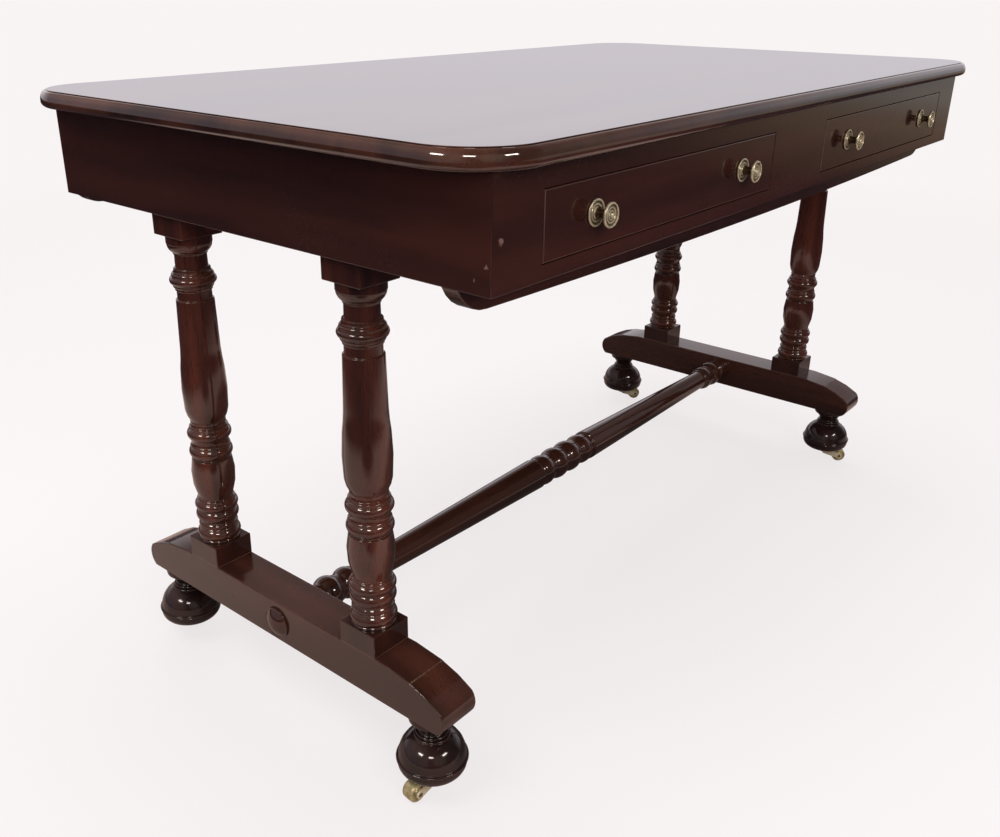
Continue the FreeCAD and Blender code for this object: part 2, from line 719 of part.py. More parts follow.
def build():
    """Every node of the table with its shape."""
    left_end = frieze_end()
    front_under_rail = under_rail(front_face + under_rail_setback, under_rail_height, under_rail_run)
    back_under_rail = under_rail(inner_side - under_rail_thickness, back_under_rail_height,
                                 back_under_rail_run)
    runner = outer_runner()
    stile = end_stile()
    left_sled = sled()
    nodes = {
        "table_top": table_top(),
        "frieze_end_left": left_end,
        "frieze_end_right": mirrored(left_end, along_x),
        "frieze_back": frieze_back(),
        "front_top_rail": front_rail(top_rail_depth, opening_top, top_underside),
        "front_bottom_rail": front_rail(bottom_rail_depth, frieze_bottom, opening_bottom),
        "front_stile_left": stile,
        "front_stile_centre": centre_stile(),
        "front_stile_right": mirrored(stile, along_x),
        "under_rail_front": front_under_rail,
        "under_rail_back": back_under_rail,
        "runner_left": runner,
        "runner_centre": centre_runner(),
        "runner_right": mirrored(runner, along_x),
        "drawer_guides": drawer_guides(),
        "glue_blocks": glue_blocks(),
        "column_screws": column_screws(),
        "sled_left": left_sled,
        "sled_right": mirrored(left_sled, along_x),
        "stretcher": stretcher(),
        "stretcher_bolts": stretcher_bolts(),
        "bolt_covers": bolt_covers(),
    }
    plates = []
    for corner, (side_x, side_y) in corners.items():
        side, end = corner.split("_")
        x = side_x * column_x
        y = side_y * foot_y
        nodes["column_" + corner] = column(x, side_y * column_y)
        nodes["bun_foot_" + corner] = bun_foot(x, y)
        plates.append(caster_plate(x, y))
        for name, shape in (("horn", caster_horn()), ("axle", caster_axle()), ("wheel", caster_wheel())):
            turned_shape = turned_over(shape, up, caster_headings[corner])
            nodes["caster_" + name + "_" + corner] = moved(turned_shape, x, y, 0)
    nodes["caster_plates"] = Part.Compound(plates)
    for name, shape in drawer().items():
        nodes["drawer_left_" + name] = shape
        nodes["drawer_right_" + name] = mirrored(shape, along_x)
    plates = []
    for name, place in knob_places().items():
        nodes["knob_left_" + name] = knob(place)
        nodes["knob_right_" + name] = mirrored(knob(place), along_x)
        plates.append(backplate(place))
    nodes["backplates_left"] = Part.Compound(plates)
    nodes["backplates_right"] = Part.Compound([mirrored(plate, along_x) for plate in plates])
    return nodes


os.makedirs("parts", exist_ok=True)
for node_name, node_shape in build().items():
    if not node_shape.isValid() or node_shape.Volume <= 0:
        raise ValueError(node_name + " is not a valid solid")
    node_shape.exportStep("parts/" + node_name + ".step")
    print(node_name, len(node_shape.Solids), round(node_shape.Volume))
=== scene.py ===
import json
import math

import bmesh
import bpy
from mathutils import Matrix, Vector

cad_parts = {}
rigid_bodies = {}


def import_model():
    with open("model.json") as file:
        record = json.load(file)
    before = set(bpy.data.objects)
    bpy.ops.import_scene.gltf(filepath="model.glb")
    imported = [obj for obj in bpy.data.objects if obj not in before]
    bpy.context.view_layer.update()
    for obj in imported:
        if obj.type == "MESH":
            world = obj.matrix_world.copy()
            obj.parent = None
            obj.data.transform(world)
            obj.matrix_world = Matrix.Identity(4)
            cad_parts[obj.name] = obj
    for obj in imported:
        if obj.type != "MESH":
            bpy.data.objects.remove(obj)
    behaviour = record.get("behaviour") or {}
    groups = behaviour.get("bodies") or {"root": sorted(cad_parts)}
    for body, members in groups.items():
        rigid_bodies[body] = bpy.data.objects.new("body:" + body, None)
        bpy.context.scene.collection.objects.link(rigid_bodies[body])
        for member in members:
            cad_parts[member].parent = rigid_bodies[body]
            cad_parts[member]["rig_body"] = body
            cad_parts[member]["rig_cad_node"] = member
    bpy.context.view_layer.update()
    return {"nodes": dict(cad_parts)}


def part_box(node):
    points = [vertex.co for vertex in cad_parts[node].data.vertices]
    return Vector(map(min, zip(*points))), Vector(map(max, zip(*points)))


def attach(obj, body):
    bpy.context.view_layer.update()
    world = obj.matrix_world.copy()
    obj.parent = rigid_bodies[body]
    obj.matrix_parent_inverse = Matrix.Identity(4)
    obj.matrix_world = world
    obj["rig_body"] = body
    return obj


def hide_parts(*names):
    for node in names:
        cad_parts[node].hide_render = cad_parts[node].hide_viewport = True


bl_info = {
    "name": "Library table",
    "version": (1, 0, 0),
    "blender": (4, 5, 0),
    "location": "3D View > Sidebar > Table",
    "description": "Dresses the frame of a library table with its mouldings, turnings, brass and polish",
    "category": "Object",
}

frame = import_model()

# Turned outlines from the foot up: shares of the length and of the radius, and the bulge before each step
column_shares = (
    (0.0, 0.0, 0.0), (0.0, 0.94, 0.0), (0.006, 0.94, 0.0), (0.008, 0.905, 0.0), (0.038, 0.905, 0.088),
    (0.04, 0.88, 0.0), (0.045, 0.88, 0.0), (0.047, 0.85, 0.0), (0.062, 0.85, 0.045), (0.064, 0.825, 0.0),
    (0.07, 0.825, 0.0), (0.072, 0.865, 0.0), (0.104, 0.9, 0.095), (0.106, 0.87, 0.0), (0.11, 0.87, 0.0),
    (0.112, 0.9, 0.0), (0.137, 0.9, 0.085), (0.139, 0.87, 0.0), (0.142, 0.87, 0.0), (0.148, 0.83, 0.015),
    (0.15, 0.79, 0.0), (0.154, 0.79, 0.0), (0.287, 0.895, 0.14), (0.289, 0.83, 0.0), (0.293, 0.83, 0.0),
    (0.295, 0.87, 0.0), (0.324, 0.91, 0.085), (0.326, 0.885, 0.0), (0.329, 0.885, 0.0), (0.336, 0.865, 0.02),
    (0.357, 0.88, -0.04), (0.359, 0.9, 0.0), (0.386, 0.905, 0.085), (0.388, 0.87, 0.0), (0.392, 0.87, 0.0),
    (0.398, 0.835, 0.02), (0.4, 0.79, 0.0), (0.407, 0.765, 0.0), (0.409, 0.785, 0.0), (0.416, 0.785, 0.0),
    (0.418, 0.77, 0.0), (0.455, 0.955, 0.03), (0.588, 0.95, 0.045), (0.652, 0.865, -0.012),
    (0.806, 0.81, 0.0), (0.808, 0.735, 0.0), (0.834, 0.735, 0.0), (0.836, 0.79, 0.0), (0.843, 0.79, 0.0),
    (0.845, 0.84, 0.0), (0.852, 0.86, 0.012), (0.854, 0.89, 0.0), (0.877, 0.91, 0.09), (0.878, 0.88, 0.0),
    (0.889, 0.83, 0.035), (0.89, 0.8, 0.0), (0.896, 0.775, 0.0), (0.902, 0.77, 0.006), (0.903, 0.685, 0.0),
    (0.943, 0.675, 0.0), (0.944, 0.72, 0.0), (0.949, 0.72, 0.0), (0.976, 0.94, 0.06), (0.977, 0.96, 0.0),
    (1.0, 0.96, 0.0), (1.0, 0.0, 0.0),
)
foot_shares = (
    (0.0, 0.0, 0.0), (0.0, 0.64, 0.0), (0.01, 0.67, 0.0), (0.2, 0.955, 0.1), (0.205, 0.945, 0.0),
    (0.212, 0.965, 0.0), (0.258, 0.95, 0.035), (0.262, 0.93, 0.0), (0.605, 0.515, 0.115), (0.61, 0.49, 0.0),
    (0.618, 0.49, 0.0), (0.622, 0.5, 0.0), (0.648, 0.45, 0.02), (0.652, 0.43, 0.0), (0.66, 0.43, 0.0),
    (0.664, 0.44, 0.0), (0.697, 0.42, 0.03), (0.702, 0.38, 0.0), (0.72, 0.365, 0.0),
    (0.885, 0.57, -0.03), (0.888, 0.6, 0.0), (0.9, 0.6, 0.0), (0.903, 0.63, 0.0), (0.985, 0.64, 0.01),
    (1.0, 0.62, 0.0), (1.0, 0.0, 0.0),
)
stretcher_end_shares = (
    (0.0, 0.0, 0.0), (0.0, 0.74, 0.0), (0.1, 0.74, 0.035), (0.13, 0.645, 0.0), (0.16, 0.7, 0.0),
    (0.2, 0.7, 0.0), (0.22, 0.73, 0.0), (0.48, 0.73, 0.148), (0.5, 0.7, 0.0), (0.53, 0.7, 0.0),
    (0.56, 0.655, 0.0), (0.61, 0.655, 0.0), (0.64, 0.73, 0.0), (0.84, 0.74, 0.083), (0.86, 0.7, 0.0),
    (0.89, 0.7, 0.0), (0.91, 0.64, 0.0), (1.0, 0.64, 0.0),
)
stretcher_middle_shares = (
    (0.0, 0.925, 0.142), (0.025, 0.9, 0.01), (0.04, 0.8, 0.0), (0.08, 0.8, 0.0), (0.11, 0.84, 0.0),
    (0.15, 0.84, 0.0), (0.17, 0.87, 0.0), (0.4, 0.87, 0.058), (0.42, 0.82, 0.0), (0.45, 0.82, 0.0),
    (0.47, 0.775, 0.0), (0.52, 0.775, 0.0), (0.55, 0.83, 0.0), (0.58, 0.83, 0.0), (0.6, 0.87, 0.0),
    (0.92, 0.87, 0.097), (0.94, 0.82, 0.0), (0.97, 0.82, 0.0), (1.0, 0.76, 0.0),
)
knob_shares = (
    (0.0, 0.0, 0.0), (0.0, 0.375, 0.0), (0.17, 0.375, 0.0), (0.19, 0.5, 0.0), (0.25, 0.5, 0.03),
    (0.27, 0.4, 0.0), (0.56, 0.36, -0.02), (0.6, 0.43, 0.0), (0.64, 0.43, 0.0), (0.76, 0.9, -0.08),
    (0.78, 0.985, 0.0), (0.89, 0.985, 0.04), (0.935, 0.93, 0.0), (0.935, 0.87, 0.0), (0.81, 0.83, 0.0),
    (0.81, 0.68, 0.0), (0.9, 0.64, 0.0), (0.9, 0.54, 0.0), (0.83, 0.5, 0.0), (0.83, 0.42, 0.0),
    (0.9, 0.39, 0.0), (0.9, 0.29, 0.0), (0.84, 0.26, 0.0), (0.84, 0.2, 0.0), (0.98, 0.15, 0.02),
    (1.0, 0.0, 0.02),
)
backplate_shares = (
    (0.0, 0.0, 0.0), (0.0, 0.97, 0.0), (0.1, 1.0, 0.0), (0.6, 1.0, 0.02), (0.75, 0.93, 0.01),
    (0.75, 0.88, 0.0), (0.25, 0.84, 0.0), (0.25, 0.7, 0.0), (0.7, 0.66, 0.0), (0.7, 0.58, 0.0),
    (0.3, 0.54, 0.0), (0.3, 0.46, 0.0), (0.95, 0.42, 0.02), (1.0, 0.34, 0.0), (1.0, 0.0, 0.0),
)
cover_shares = (
    (0.0, 0.0, 0.0), (0.0, 0.97, 0.0), (0.03, 1.0, 0.0), (0.24, 1.0, 0.0), (0.3, 0.97, 0.01),
    (0.24, 0.92, 0.0), (0.28, 0.89, 0.0), (1.0, 0.0, 0.085),
)
caster_plate_shares = (
    (0.0, 0.0, 0.0), (0.0, 0.9, 0.0), (0.5, 1.0, 0.02), (1.0, 1.0, 0.0), (1.0, 0.0, 0.0),
)
horn_shares = (
    (0.0, 0.0, 0.0), (0.0, 0.5, 0.0), (0.3, 0.78, 0.05), (0.7, 0.84, -0.02), (0.76, 0.92, 0.0),
    (0.93, 1.0, 0.03), (1.0, 0.97, 0.0), (1.0, 0.0, 0.0),
)
wheel_shares = (
    (0.1, 0.0, 0.0), (0.1, 0.2, 0.0), (0.03, 0.3, 0.0), (0.03, 0.42, 0.0), (0.1, 0.48, 0.0),
    (0.1, 0.72, -0.02), (0.02, 0.78, 0.0), (0.02, 0.88, 0.0), (0.16, 0.985, 0.02), (0.5, 1.0, 0.005),
    (0.84, 0.985, 0.005), (0.98, 0.88, 0.02), (0.98, 0.78, 0.0), (0.9, 0.72, 0.0), (0.9, 0.48, -0.02),
    (0.97, 0.42, 0.0), (0.97, 0.3, 0.0), (0.9, 0.2, 0.0), (0.9, 0.0, 0.0),
)
axle_shares = (
    (0.0, 0.0, 0.0), (0.02, 0.7, 0.1), (0.045, 1.0, 0.03), (0.05, 1.0, 0.0), (0.05, 0.6, 0.0),
    (0.95, 0.6, 0.0), (0.95, 1.0, 0.0), (0.955, 1.0, 0.0), (0.98, 0.7, 0.03), (1.0, 0.0, 0.1),
)

# The toe of a sled as shares of its length and of the sled's height, from the flat round to the underside
toe_shares = ((0.46, 0.907), (0.46, 0.896), (0.71, 0.77), (0.944, 0.573), (1.0, 0.35), (0.9, 0.0))

# Tolerances and steps of the modelling
weld = 0.00001
arc_step = math.radians(14)
smooth_angle = math.radians(38)
flat_angle = math.radians(1)
sharp_angle = math.radians(24)
ease_share = 0.4
facing_share = 0.9
brass_edge_steps = 2
node_gap = 180

# Names and directions
corners = ("front_left", "back_left", "front_right", "back_right")
up = Vector((0, 0, 1))
right = Vector((1, 0, 0))
forward = Vector((0, -1, 0))
lining_parts = ("side_outer", "side_inner", "back", "bottom")
pine_nodes = ("runner_left", "runner_centre", "runner_right", "drawer_guides", "glue_blocks")
steel_nodes = ("column_screws", "stretcher_bolts")


def length(name, description, default):
    """A length that can be changed, in metres."""
    return bpy.props.FloatProperty(name=name, description=description, default=default, min=0,
                                   precision=5, unit="LENGTH")


def colour(name, description, default):
    """A colour that can be changed."""
    return bpy.props.FloatVectorProperty(name=name, description=description, default=default, size=3,
                                         min=0, max=1, subtype="COLOR")


def count(name, description, default):
    """A number of steps that can be changed."""
    return bpy.props.IntProperty(name=name, description=description, default=default, min=3)


class TableJoinery(bpy.types.PropertyGroup):
    """Sizes of the moulded top and of the sawn and planed pieces."""
    corner_round: length("Corner rounding", "Radius of the top's corners", 0.076)
    nose_width: length("Nose width", "How far the flat field stands back from the nose", 0.0075)
    nose_return: length("Nose return", "How far the nose curves back in below", 0.0085)
    nose_rise: length("Nose rise", "Height of the nose above its widest line", 0.012)
    nose_flat: length("Nose flat", "Height of the upright part of the nose", 0.0006)
    field_step: length("Field step", "Height of the flat field above the nose", 0.0012)
    field_groove: length("Field groove", "Width and depth of the groove beside the field", 0.0008)
    field_ease: length("Field ease", "Rounding of the field's edge", 0.0004)
    arris: length("Arris", "Rounding of the boards' edges", 0.0009)
    drawer_arris: length("Drawer arris", "Rounding of the drawer fronts' edges", 0.0008)
    sled_arris: length("Sled arris", "Rounding of the sleds' edges", 0.0016)
    front_rail_run: length("Front rail run", "Length of the curved ends of the front rail below", 0.040)
    front_rail_lift: length("Front rail lift", "How much shallower that rail is beside those curves", 0.0045)
    front_rail_sag: length("Front rail sag", "How far its lower edge sags between them", 0.0068)
    back_rail_run: length("Back rail run", "Length of the curved ends of the back rail below", 0.020)
    rail_steps: count("Rail steps", "Steps in half of a sagging edge", 8)
    toe_length: length("Toe length", "Length of the shaped toes of the sleds", 0.089)
    block_arris: length("Block arris", "Rounding of the columns' square blocks", 0.0012)
    column_block: length("Column block", "Height of the square block on top of a column", 0.0265)
    plinth: length("Plinth", "Height of the square plinth under a column", 0.028)
    edge_steps: count("Edge steps", "Steps in each rounded edge", 3)
    corner_steps: count("Corner steps", "Steps in each round corner of the top", 24)
    nose_steps: count("Nose steps", "Steps in each quarter of the nose", 8)


class TableTurnery(bpy.types.PropertyGroup):
    """Sizes of the turned pieces."""
    column_radius: length("Column radius", "Largest radius of a column's turning", 0.0274)
    foot_radius: length("Bun foot radius", "Radius of a bun foot at its widest", 0.042)
    foot_height: length("Bun foot height", "Height of a bun foot", 0.080)
    stretcher_radius: length("Stretcher radius", "Largest radius of the stretcher", 0.026)
    end_turning: length("End turning", "Length of the rings at each end of the stretcher", 0.080)
    middle_turning: length("Middle turning", "Length of half of the rings at its middle", 0.072)
    ease: length("Ease", "How far polish has rounded each turned corner", 0.0005)
    small_ease: length("Small ease", "The same on brass", 0.00022)
    facets: count("Facets", "Flats round a turned piece", 64)
    brass_facets: count("Brass facets", "Flats round a small brass piece", 48)


class TableBrass(bpy.types.PropertyGroup):
    """Sizes of the knobs, the bolt covers and the casters."""
    knob_radius: length("Knob radius", "Radius of a knob's face", 0.012)
    knob_reach: length("Knob reach", "How far a knob stands out", 0.020)
    backplate_radius: length("Backplate radius", "Radius of the plate behind a knob", 0.013)
    backplate_thickness: length("Backplate thickness", "Thickness of that plate", 0.0032)
    cover_radius: length("Cover radius", "Radius of the button over a stretcher bolt", 0.020)
    cover_height: length("Cover height", "How far the button stands out", 0.009)
    plate_radius: length("Plate radius", "Radius of a caster's plate", 0.018)
    plate_thickness: length("Plate thickness", "Thickness of a caster's plate", 0.002)
    horn_radius: length("Horn radius", "Radius of a caster's horn", 0.0105)
    horn_height: length("Horn height", "Height of the round part of a horn", 0.009)
    horn_gap: length("Horn gap", "Gap between a horn and its plate", 0.00005)
    cheek_thickness: length("Cheek thickness", "Thickness of a horn's cheeks", 0.0026)
    cheek_gap: length("Cheek gap", "Gap between a cheek and the wheel", 0.0004)
    cheek_drop: length("Cheek drop", "How far below the plate a cheek's upper end is centred", 0.0052)
    cheek_top_radius: length("Cheek top radius", "Radius of a cheek's upper end", 0.0045)
    cheek_axle_radius: length("Cheek axle radius", "Radius of a cheek round the axle", 0.0052)
    cheek_arris: length("Cheek arris", "Rounding of a cheek's edges", 0.0005)
    axle_head_radius: length("Axle head radius", "Radius of an axle's heads", 0.0042)


class TableFinish(bpy.types.PropertyGroup):
    """Colours of the finishes."""
    mahogany_dark: colour("Dark mahogany", "Colour of the dark grain", (0.021, 0.0072, 0.0056))
    mahogany_light: colour("Light mahogany", "Colour of the light grain", (0.078, 0.0235, 0.0145))
    board_dark: colour("Dark boards", "Colour of the dark grain of the boards", (0.031, 0.0105, 0.0085))
    board_light: colour("Light boards", "Colour of the light grain of the boards", (0.067, 0.0195, 0.0135))
    upright_light: colour("Upright mahogany", "Light grain of the columns", (0.125, 0.032, 0.0185))
    mahogany_worn: colour("Worn mahogany", "Colour of worn edges", (0.21, 0.095, 0.05))
    # Worn boards: the colour of the boards' chips, and of the painted highlight along the drawers' edges
    board_worn: colour("Worn boards", "Chips of the boards and edges of the drawers", (0.26, 0.14, 0.115))
    chipped: colour("Chipped mahogany", "Colour of the chipped edges of the sleds", (0.42, 0.27, 0.17))
    feet_dark: colour("Dark feet", "Dark grain of the bun feet", (0.010, 0.0055, 0.0055))
    feet_light: colour("Light feet", "Light grain of the bun feet", (0.034, 0.013, 0.011))
    # Old wax: the colour of wax in the pores, and of the painted shade in corners
    grime: colour("Old wax", "Colour of the wax in corners", (0.008, 0.005, 0.004))
    lining_dark: colour("Dark lining", "Dark grain of the drawer linings", (0.16, 0.085, 0.042))
    lining_light: colour("Light lining", "Light grain of the drawer linings", (0.36, 0.21, 0.11))
    pine_dark: colour("Dark pine", "Dark grain of the inner boards", (0.30, 0.17, 0.08))
    pine_light: colour("Light pine", "Light grain of the inner boards", (0.52, 0.35, 0.19))
    brass_dark: colour("Dark brass", "Colour of tarnished brass", (0.36, 0.27, 0.12))
    brass_dull: colour("Dull brass", "Colour of brass between its bright edges", (0.20, 0.15, 0.08))
    brass_light: colour("Plain brass", "Colour of polished brass", (0.80, 0.68, 0.36))
    # Brass edges: rubbed brass, and the painted highlight on the knobs' rims
    brass_edge: colour("Brass edges", "Colour of brass that hands keep bright", (0.84, 0.72, 0.50))
    # Brass grooves: dark tarnish, and the painted shade in a knob's grooves and on its neck
    brass_groove: colour("Brass grooves", "Colour of the brass that no hand rubs", (0.075, 0.042, 0.014))
    steel_dark: colour("Dark steel", "Colour of old steel", (0.12, 0.11, 0.10))
    steel_light: colour("Light steel", "Colour of rubbed steel", (0.34, 0.33, 0.32))


class TableStudio(bpy.types.PropertyGroup):
    """The camera, the lamps and the floor."""
    camera_place: bpy.props.FloatVectorProperty(
        name="Camera place", description="Where the camera stands", size=3,
        default=(-1.2192, -0.8353, 0.8618), subtype="TRANSLATION", unit="LENGTH")
    camera_turn: bpy.props.FloatVectorProperty(
        name="Camera turn", description="How the camera is turned", size=3,
        default=(math.radians(66.99), math.radians(-0.33), math.radians(-49.71)), subtype="EULER")
    lens: bpy.props.FloatProperty(name="Lens", description="Focal length for a 36 mm frame", default=35.97,
                                  unit="CAMERA")
    shift_x: bpy.props.FloatProperty(name="Sideways shift", description="Shift of the frame", default=0.0298)
    shift_y: bpy.props.FloatProperty(name="Upward shift", description="Shift of the frame", default=-0.0176)
    floor_size: length("Floor size", "Width of the floor", 90.0)
    pale: colour("Pale backdrop", "What the camera sees behind the table", (0.947, 0.905, 0.905))
    lamp_power: bpy.props.FloatProperty(name="Lamp power", description="Power of each lamp", default=16.0,
                                        unit="POWER")
    lamp_tint: colour("Lamp tint", "Colour of the lamps that light the table", (1.0, 1.0, 1.0))
    glint_tint: colour("Glint tint", "Colour of the lamps that the polish mirrors", (1.0, 0.90, 0.82))
    room_light: bpy.props.FloatProperty(name="Room light", description="Strength of the light all round",
                                        default=0.45)


def deselect():
    """Clears the selection, since a tool acts on all that is selected."""
    if bpy.context.mode != "OBJECT":
        bpy.ops.object.mode_set(mode="OBJECT")
    bpy.ops.object.select_all(action="DESELECT")


def pick(*pieces):
    """Selects pieces, and makes the first of them the active one."""
    deselect()
    for piece in pieces:
        piece.select_set(True)
    bpy.context.view_layer.objects.active = pieces[0]


def start_shaping(name):
    """Names the object that was just added and opens it in edit mode with all of it selected."""
    piece = bpy.context.active_object
    piece.name = name
    piece.data.name = name
    bpy.ops.object.mode_set(mode="EDIT")
    bpy.ops.mesh.select_mode(type="VERT")
    bpy.ops.mesh.select_all(action="SELECT")
    return piece


def start_block(name, low, high):
    """A block between two corners, ready for shaping."""
    deselect()
    bpy.ops.mesh.primitive_cube_add(size=1, location=(low + high) / 2, scale=high - low)
    bpy.ops.object.transform_apply(location=True, rotation=True, scale=True)
    return start_shaping(name)


def start_line(name, points):
    """A line drawn point by point, ready for shaping."""
    deselect()
    bpy.ops.mesh.primitive_plane_add(size=1, location=points[0])
    bpy.ops.object.transform_apply(location=True, rotation=True, scale=True)
    piece = start_shaping(name)
    bpy.ops.mesh.merge(type="CENTER")
    for before, point in zip(points, points[1:]):
        bpy.ops.mesh.extrude_region_move(TRANSFORM_OT_translate={"value": point - before})
    bpy.ops.mesh.select_all(action="SELECT")
    return piece


def same(first, second):
    """Whether two places are one."""
    return abs(first - second) < weld


def choose(piece, kind, test):
    """Selects only the corners, edges or faces that pass the test."""
    bpy.ops.mesh.select_mode(type={"verts": "VERT", "edges": "EDGE", "faces": "FACE"}[kind])
    bpy.ops.mesh.select_all(action="DESELECT")
    mesh = bmesh.from_edit_mesh(piece.data)
    mesh.normal_update()
    for part in getattr(mesh, kind):
        if test(part):
            part.select_set(True)
    bmesh.update_edit_mesh(piece.data)


def round_edges(piece, radius, steps, test):
    """Rounds the edges that pass the test."""
    choose(piece, "edges", test)
    bpy.ops.mesh.bevel(offset=radius, segments=steps, affect="EDGES")


def all_at(edge, axis, place):
    """Whether both ends of an edge lie at a place on an axis."""
    return all(same(corner.co[axis], place) for corner in edge.verts)


def runs_along(edge, axis):
    """Whether an edge runs along an axis."""
    run = edge.verts[1].co - edge.verts[0].co
    return same(run.length, abs(run[axis]))


def close_shape():
    """Joins doubled corners and turns every face outwards."""
    bpy.ops.mesh.select_all(action="SELECT")
    bpy.ops.mesh.remove_doubles(threshold=weld)
    bpy.ops.mesh.normals_make_consistent(inside=False)


def smooth(piece, flats=False):
    """Shades a piece smoothly, and keeps broad flat faces flat."""
    pick(piece)
    bpy.ops.object.shade_smooth_by_angle(angle=smooth_angle)
    if flats:
        weighted = piece.modifiers.new("flat faces", "WEIGHTED_NORMAL")
        weighted.keep_sharp = True
        bpy.ops.object.modifier_apply(modifier=weighted.name)


def fit(piece, body, slot, material, *nodes):
    """Gives a finished piece its material and its body, and hides the nodes that it stands for."""
    piece.data.materials.clear()
    piece.data.materials.append(material)
    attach(piece, body)
    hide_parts(*nodes)


def copy_to(piece, name, place, turn=0):
    """A copy of a piece with its own mesh, turned about the upright through the origin and moved."""
    pick(piece)
    bpy.ops.object.duplicate(linked=False)
    copy = bpy.context.active_object
    copy.name = name
    copy.data.name = name
    copy.location = place
    copy.rotation_euler = (0, 0, turn)
    bpy.ops.object.transform_apply(location=True, rotation=True, scale=True)
    return copy


def middle_of(node):
    """The middle of a node of the frame."""
    low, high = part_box(node)
    return (low + high) / 2


def discard(piece):
    """Removes a pattern piece after its copies are made."""
    bpy.data.meshes.remove(piece.data)


def arc(start, middle, end):
    """Points along the arc through three points, without its start."""
    double = 2 * (start.x * (middle.y - end.y) + middle.x * (end.y - start.y) + end.x * (start.y - middle.y))
    squares = (start.length_squared, middle.length_squared, end.length_squared)
    centre = Vector((
        (squares[0] * (middle.y - end.y) + squares[1] * (end.y - start.y)
         + squares[2] * (start.y - middle.y)) / double,
        (squares[0] * (end.x - middle.x) + squares[1] * (start.x - end.x)
         + squares[2] * (middle.x - start.x)) / double))
    first, via, last = (math.atan2(point.y - centre.y, point.x - centre.x) for point in (start, middle, end))
    sweep = (last - first) % math.tau
    if (via - first) % math.tau > sweep:
        sweep -= math.tau
    steps = max(2, math.ceil(abs(sweep) / arc_step))
    radius = (start - centre).length
    turns = [first + sweep * index / steps for index in range(1, steps + 1)]
    return [centre + radius * Vector((math.cos(turn), math.sin(turn))) for turn in turns]


def drawn(outline, full_length, radius):
    """The points of a turned outline, (distance along, distance out), with its arcs drawn in."""
    points = []
    for share, radius_share, bulge in outline:
        point = Vector((share * full_length, radius_share * radius))
        if points and bulge:
            chord = point - points[-1]
            outward = Vector((-chord.y, chord.x)).normalized()
            points += arc(points[-1], (points[-1] + point) / 2 + outward * bulge * radius, point)
        else:
            points.append(point)
    return points


def eased(points, ease):
    """The same outline with its sharp corners rounded, as polish and use leave them."""
    result = [points[0]]
    for before, corner, after in zip(points, points[1:], points[2:]):
        back = before - corner
        ahead = after - corner
        if back.angle(-ahead) < sharp_angle:
            result.append(corner)
            continue
        cut = min(ease, back.length * ease_share, ahead.length * ease_share)
        start = corner + back.normalized() * cut
        end = corner + ahead.normalized() * cut
        result += [start, (start + end) / 4 + corner / 2, end]
    result.append(points[-1])
    return result


def turned(name, points, foot, along, outward, facets):
    """A piece turned on a lathe: its outline is drawn from its foot and spun about its axis."""
    places = [foot + along * point.x + outward * point.y for point in points]
    piece = start_line(name, places)
    bpy.ops.mesh.spin(steps=facets, angle=math.tau, center=foot, axis=along)
    close_shape()
    return piece


def sawn(name, points, thickness):
    """A piece sawn to an outline, with a thickness and a direction for it."""
    piece = start_line(name, points)
    bpy.ops.mesh.edge_face_add()
    bpy.ops.mesh.extrude_region_move(TRANSFORM_OT_translate={"value": thickness})
    close_shape()
    return piece


def make_top(sizes, looks):
    """The top, worked up to its flat field and down to its underside from the widest line of its nose."""
    low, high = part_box("table_top")
    waist = high.z - sizes.field_step - sizes.nose_rise
    half_flat = up * sizes.nose_flat / 2
    piece = start_block("moulded_top", Vector((low.x, low.y, waist)) - half_flat,
                        Vector((high.x, high.y, waist)) + half_flat)
    round_edges(piece, sizes.corner_round, sizes.corner_steps, lambda edge: runs_along(edge, 2))
    choose(piece, "faces", lambda face: face.normal.z > facing_share)
    work_edge(sizes.nose_width - sizes.field_groove, sizes.nose_rise - sizes.nose_flat / 2, sizes.nose_steps)
    bpy.ops.mesh.inset(thickness=sizes.field_groove, depth=-sizes.field_groove)
    bpy.ops.mesh.inset(thickness=weld, depth=sizes.field_groove + sizes.field_step - sizes.field_ease)
    bpy.ops.mesh.inset(thickness=sizes.field_ease, depth=sizes.field_ease)
    choose(piece, "faces", lambda face: face.normal.z < -facing_share)
    work_edge(sizes.nose_return, waist - low.z - sizes.nose_flat / 2, sizes.nose_steps)
    close_shape()
    smooth(piece, flats=True)
    fit(piece, "table", "mahogany_top", looks["top"], "table_top")


def work_edge(width, height, steps):
    """Works the selected face inwards by a width and on by a height along a quarter round."""
    before = Vector((0, 0))
    for index in range(1, steps + 1):
        turn = math.pi / 2 * index / steps
        place = Vector((width * (1 - math.cos(turn)), height * math.sin(turn)))
        step = place - before
        bpy.ops.mesh.inset(thickness=step.x, depth=step.y)
        before = place


def mitre(piece, test, shift):
    """Slides the corners that pass the test, which turns a square end into a mitre."""
    choose(piece, "verts", test)
    bpy.ops.transform.translate(value=shift)


def make_end_board(side, sizes, looks):
    """One end of the frieze, mitred at both corners."""
    node = "frieze_end_" + side
    low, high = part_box(node)
    outer, inner = (low.x, high.x) if side == "left" else (high.x, low.x)
    piece = start_block("end_board_" + side, low, high)
    for place, sign in ((low.y, 1), (high.y, -1)):
        mitre(piece, lambda corner: same(corner.co.x, inner) and same(corner.co.y, place),
              Vector((0, sign * (high.x - low.x), 0)))
    round_edges(piece, sizes.arris, sizes.edge_steps,
                lambda edge: all_at(edge, 0, outer) and not all_at(edge, 2, high.z))
    smooth(piece, flats=True)
    fit(piece, "table", "mahogany", looks["end_boards"], node)


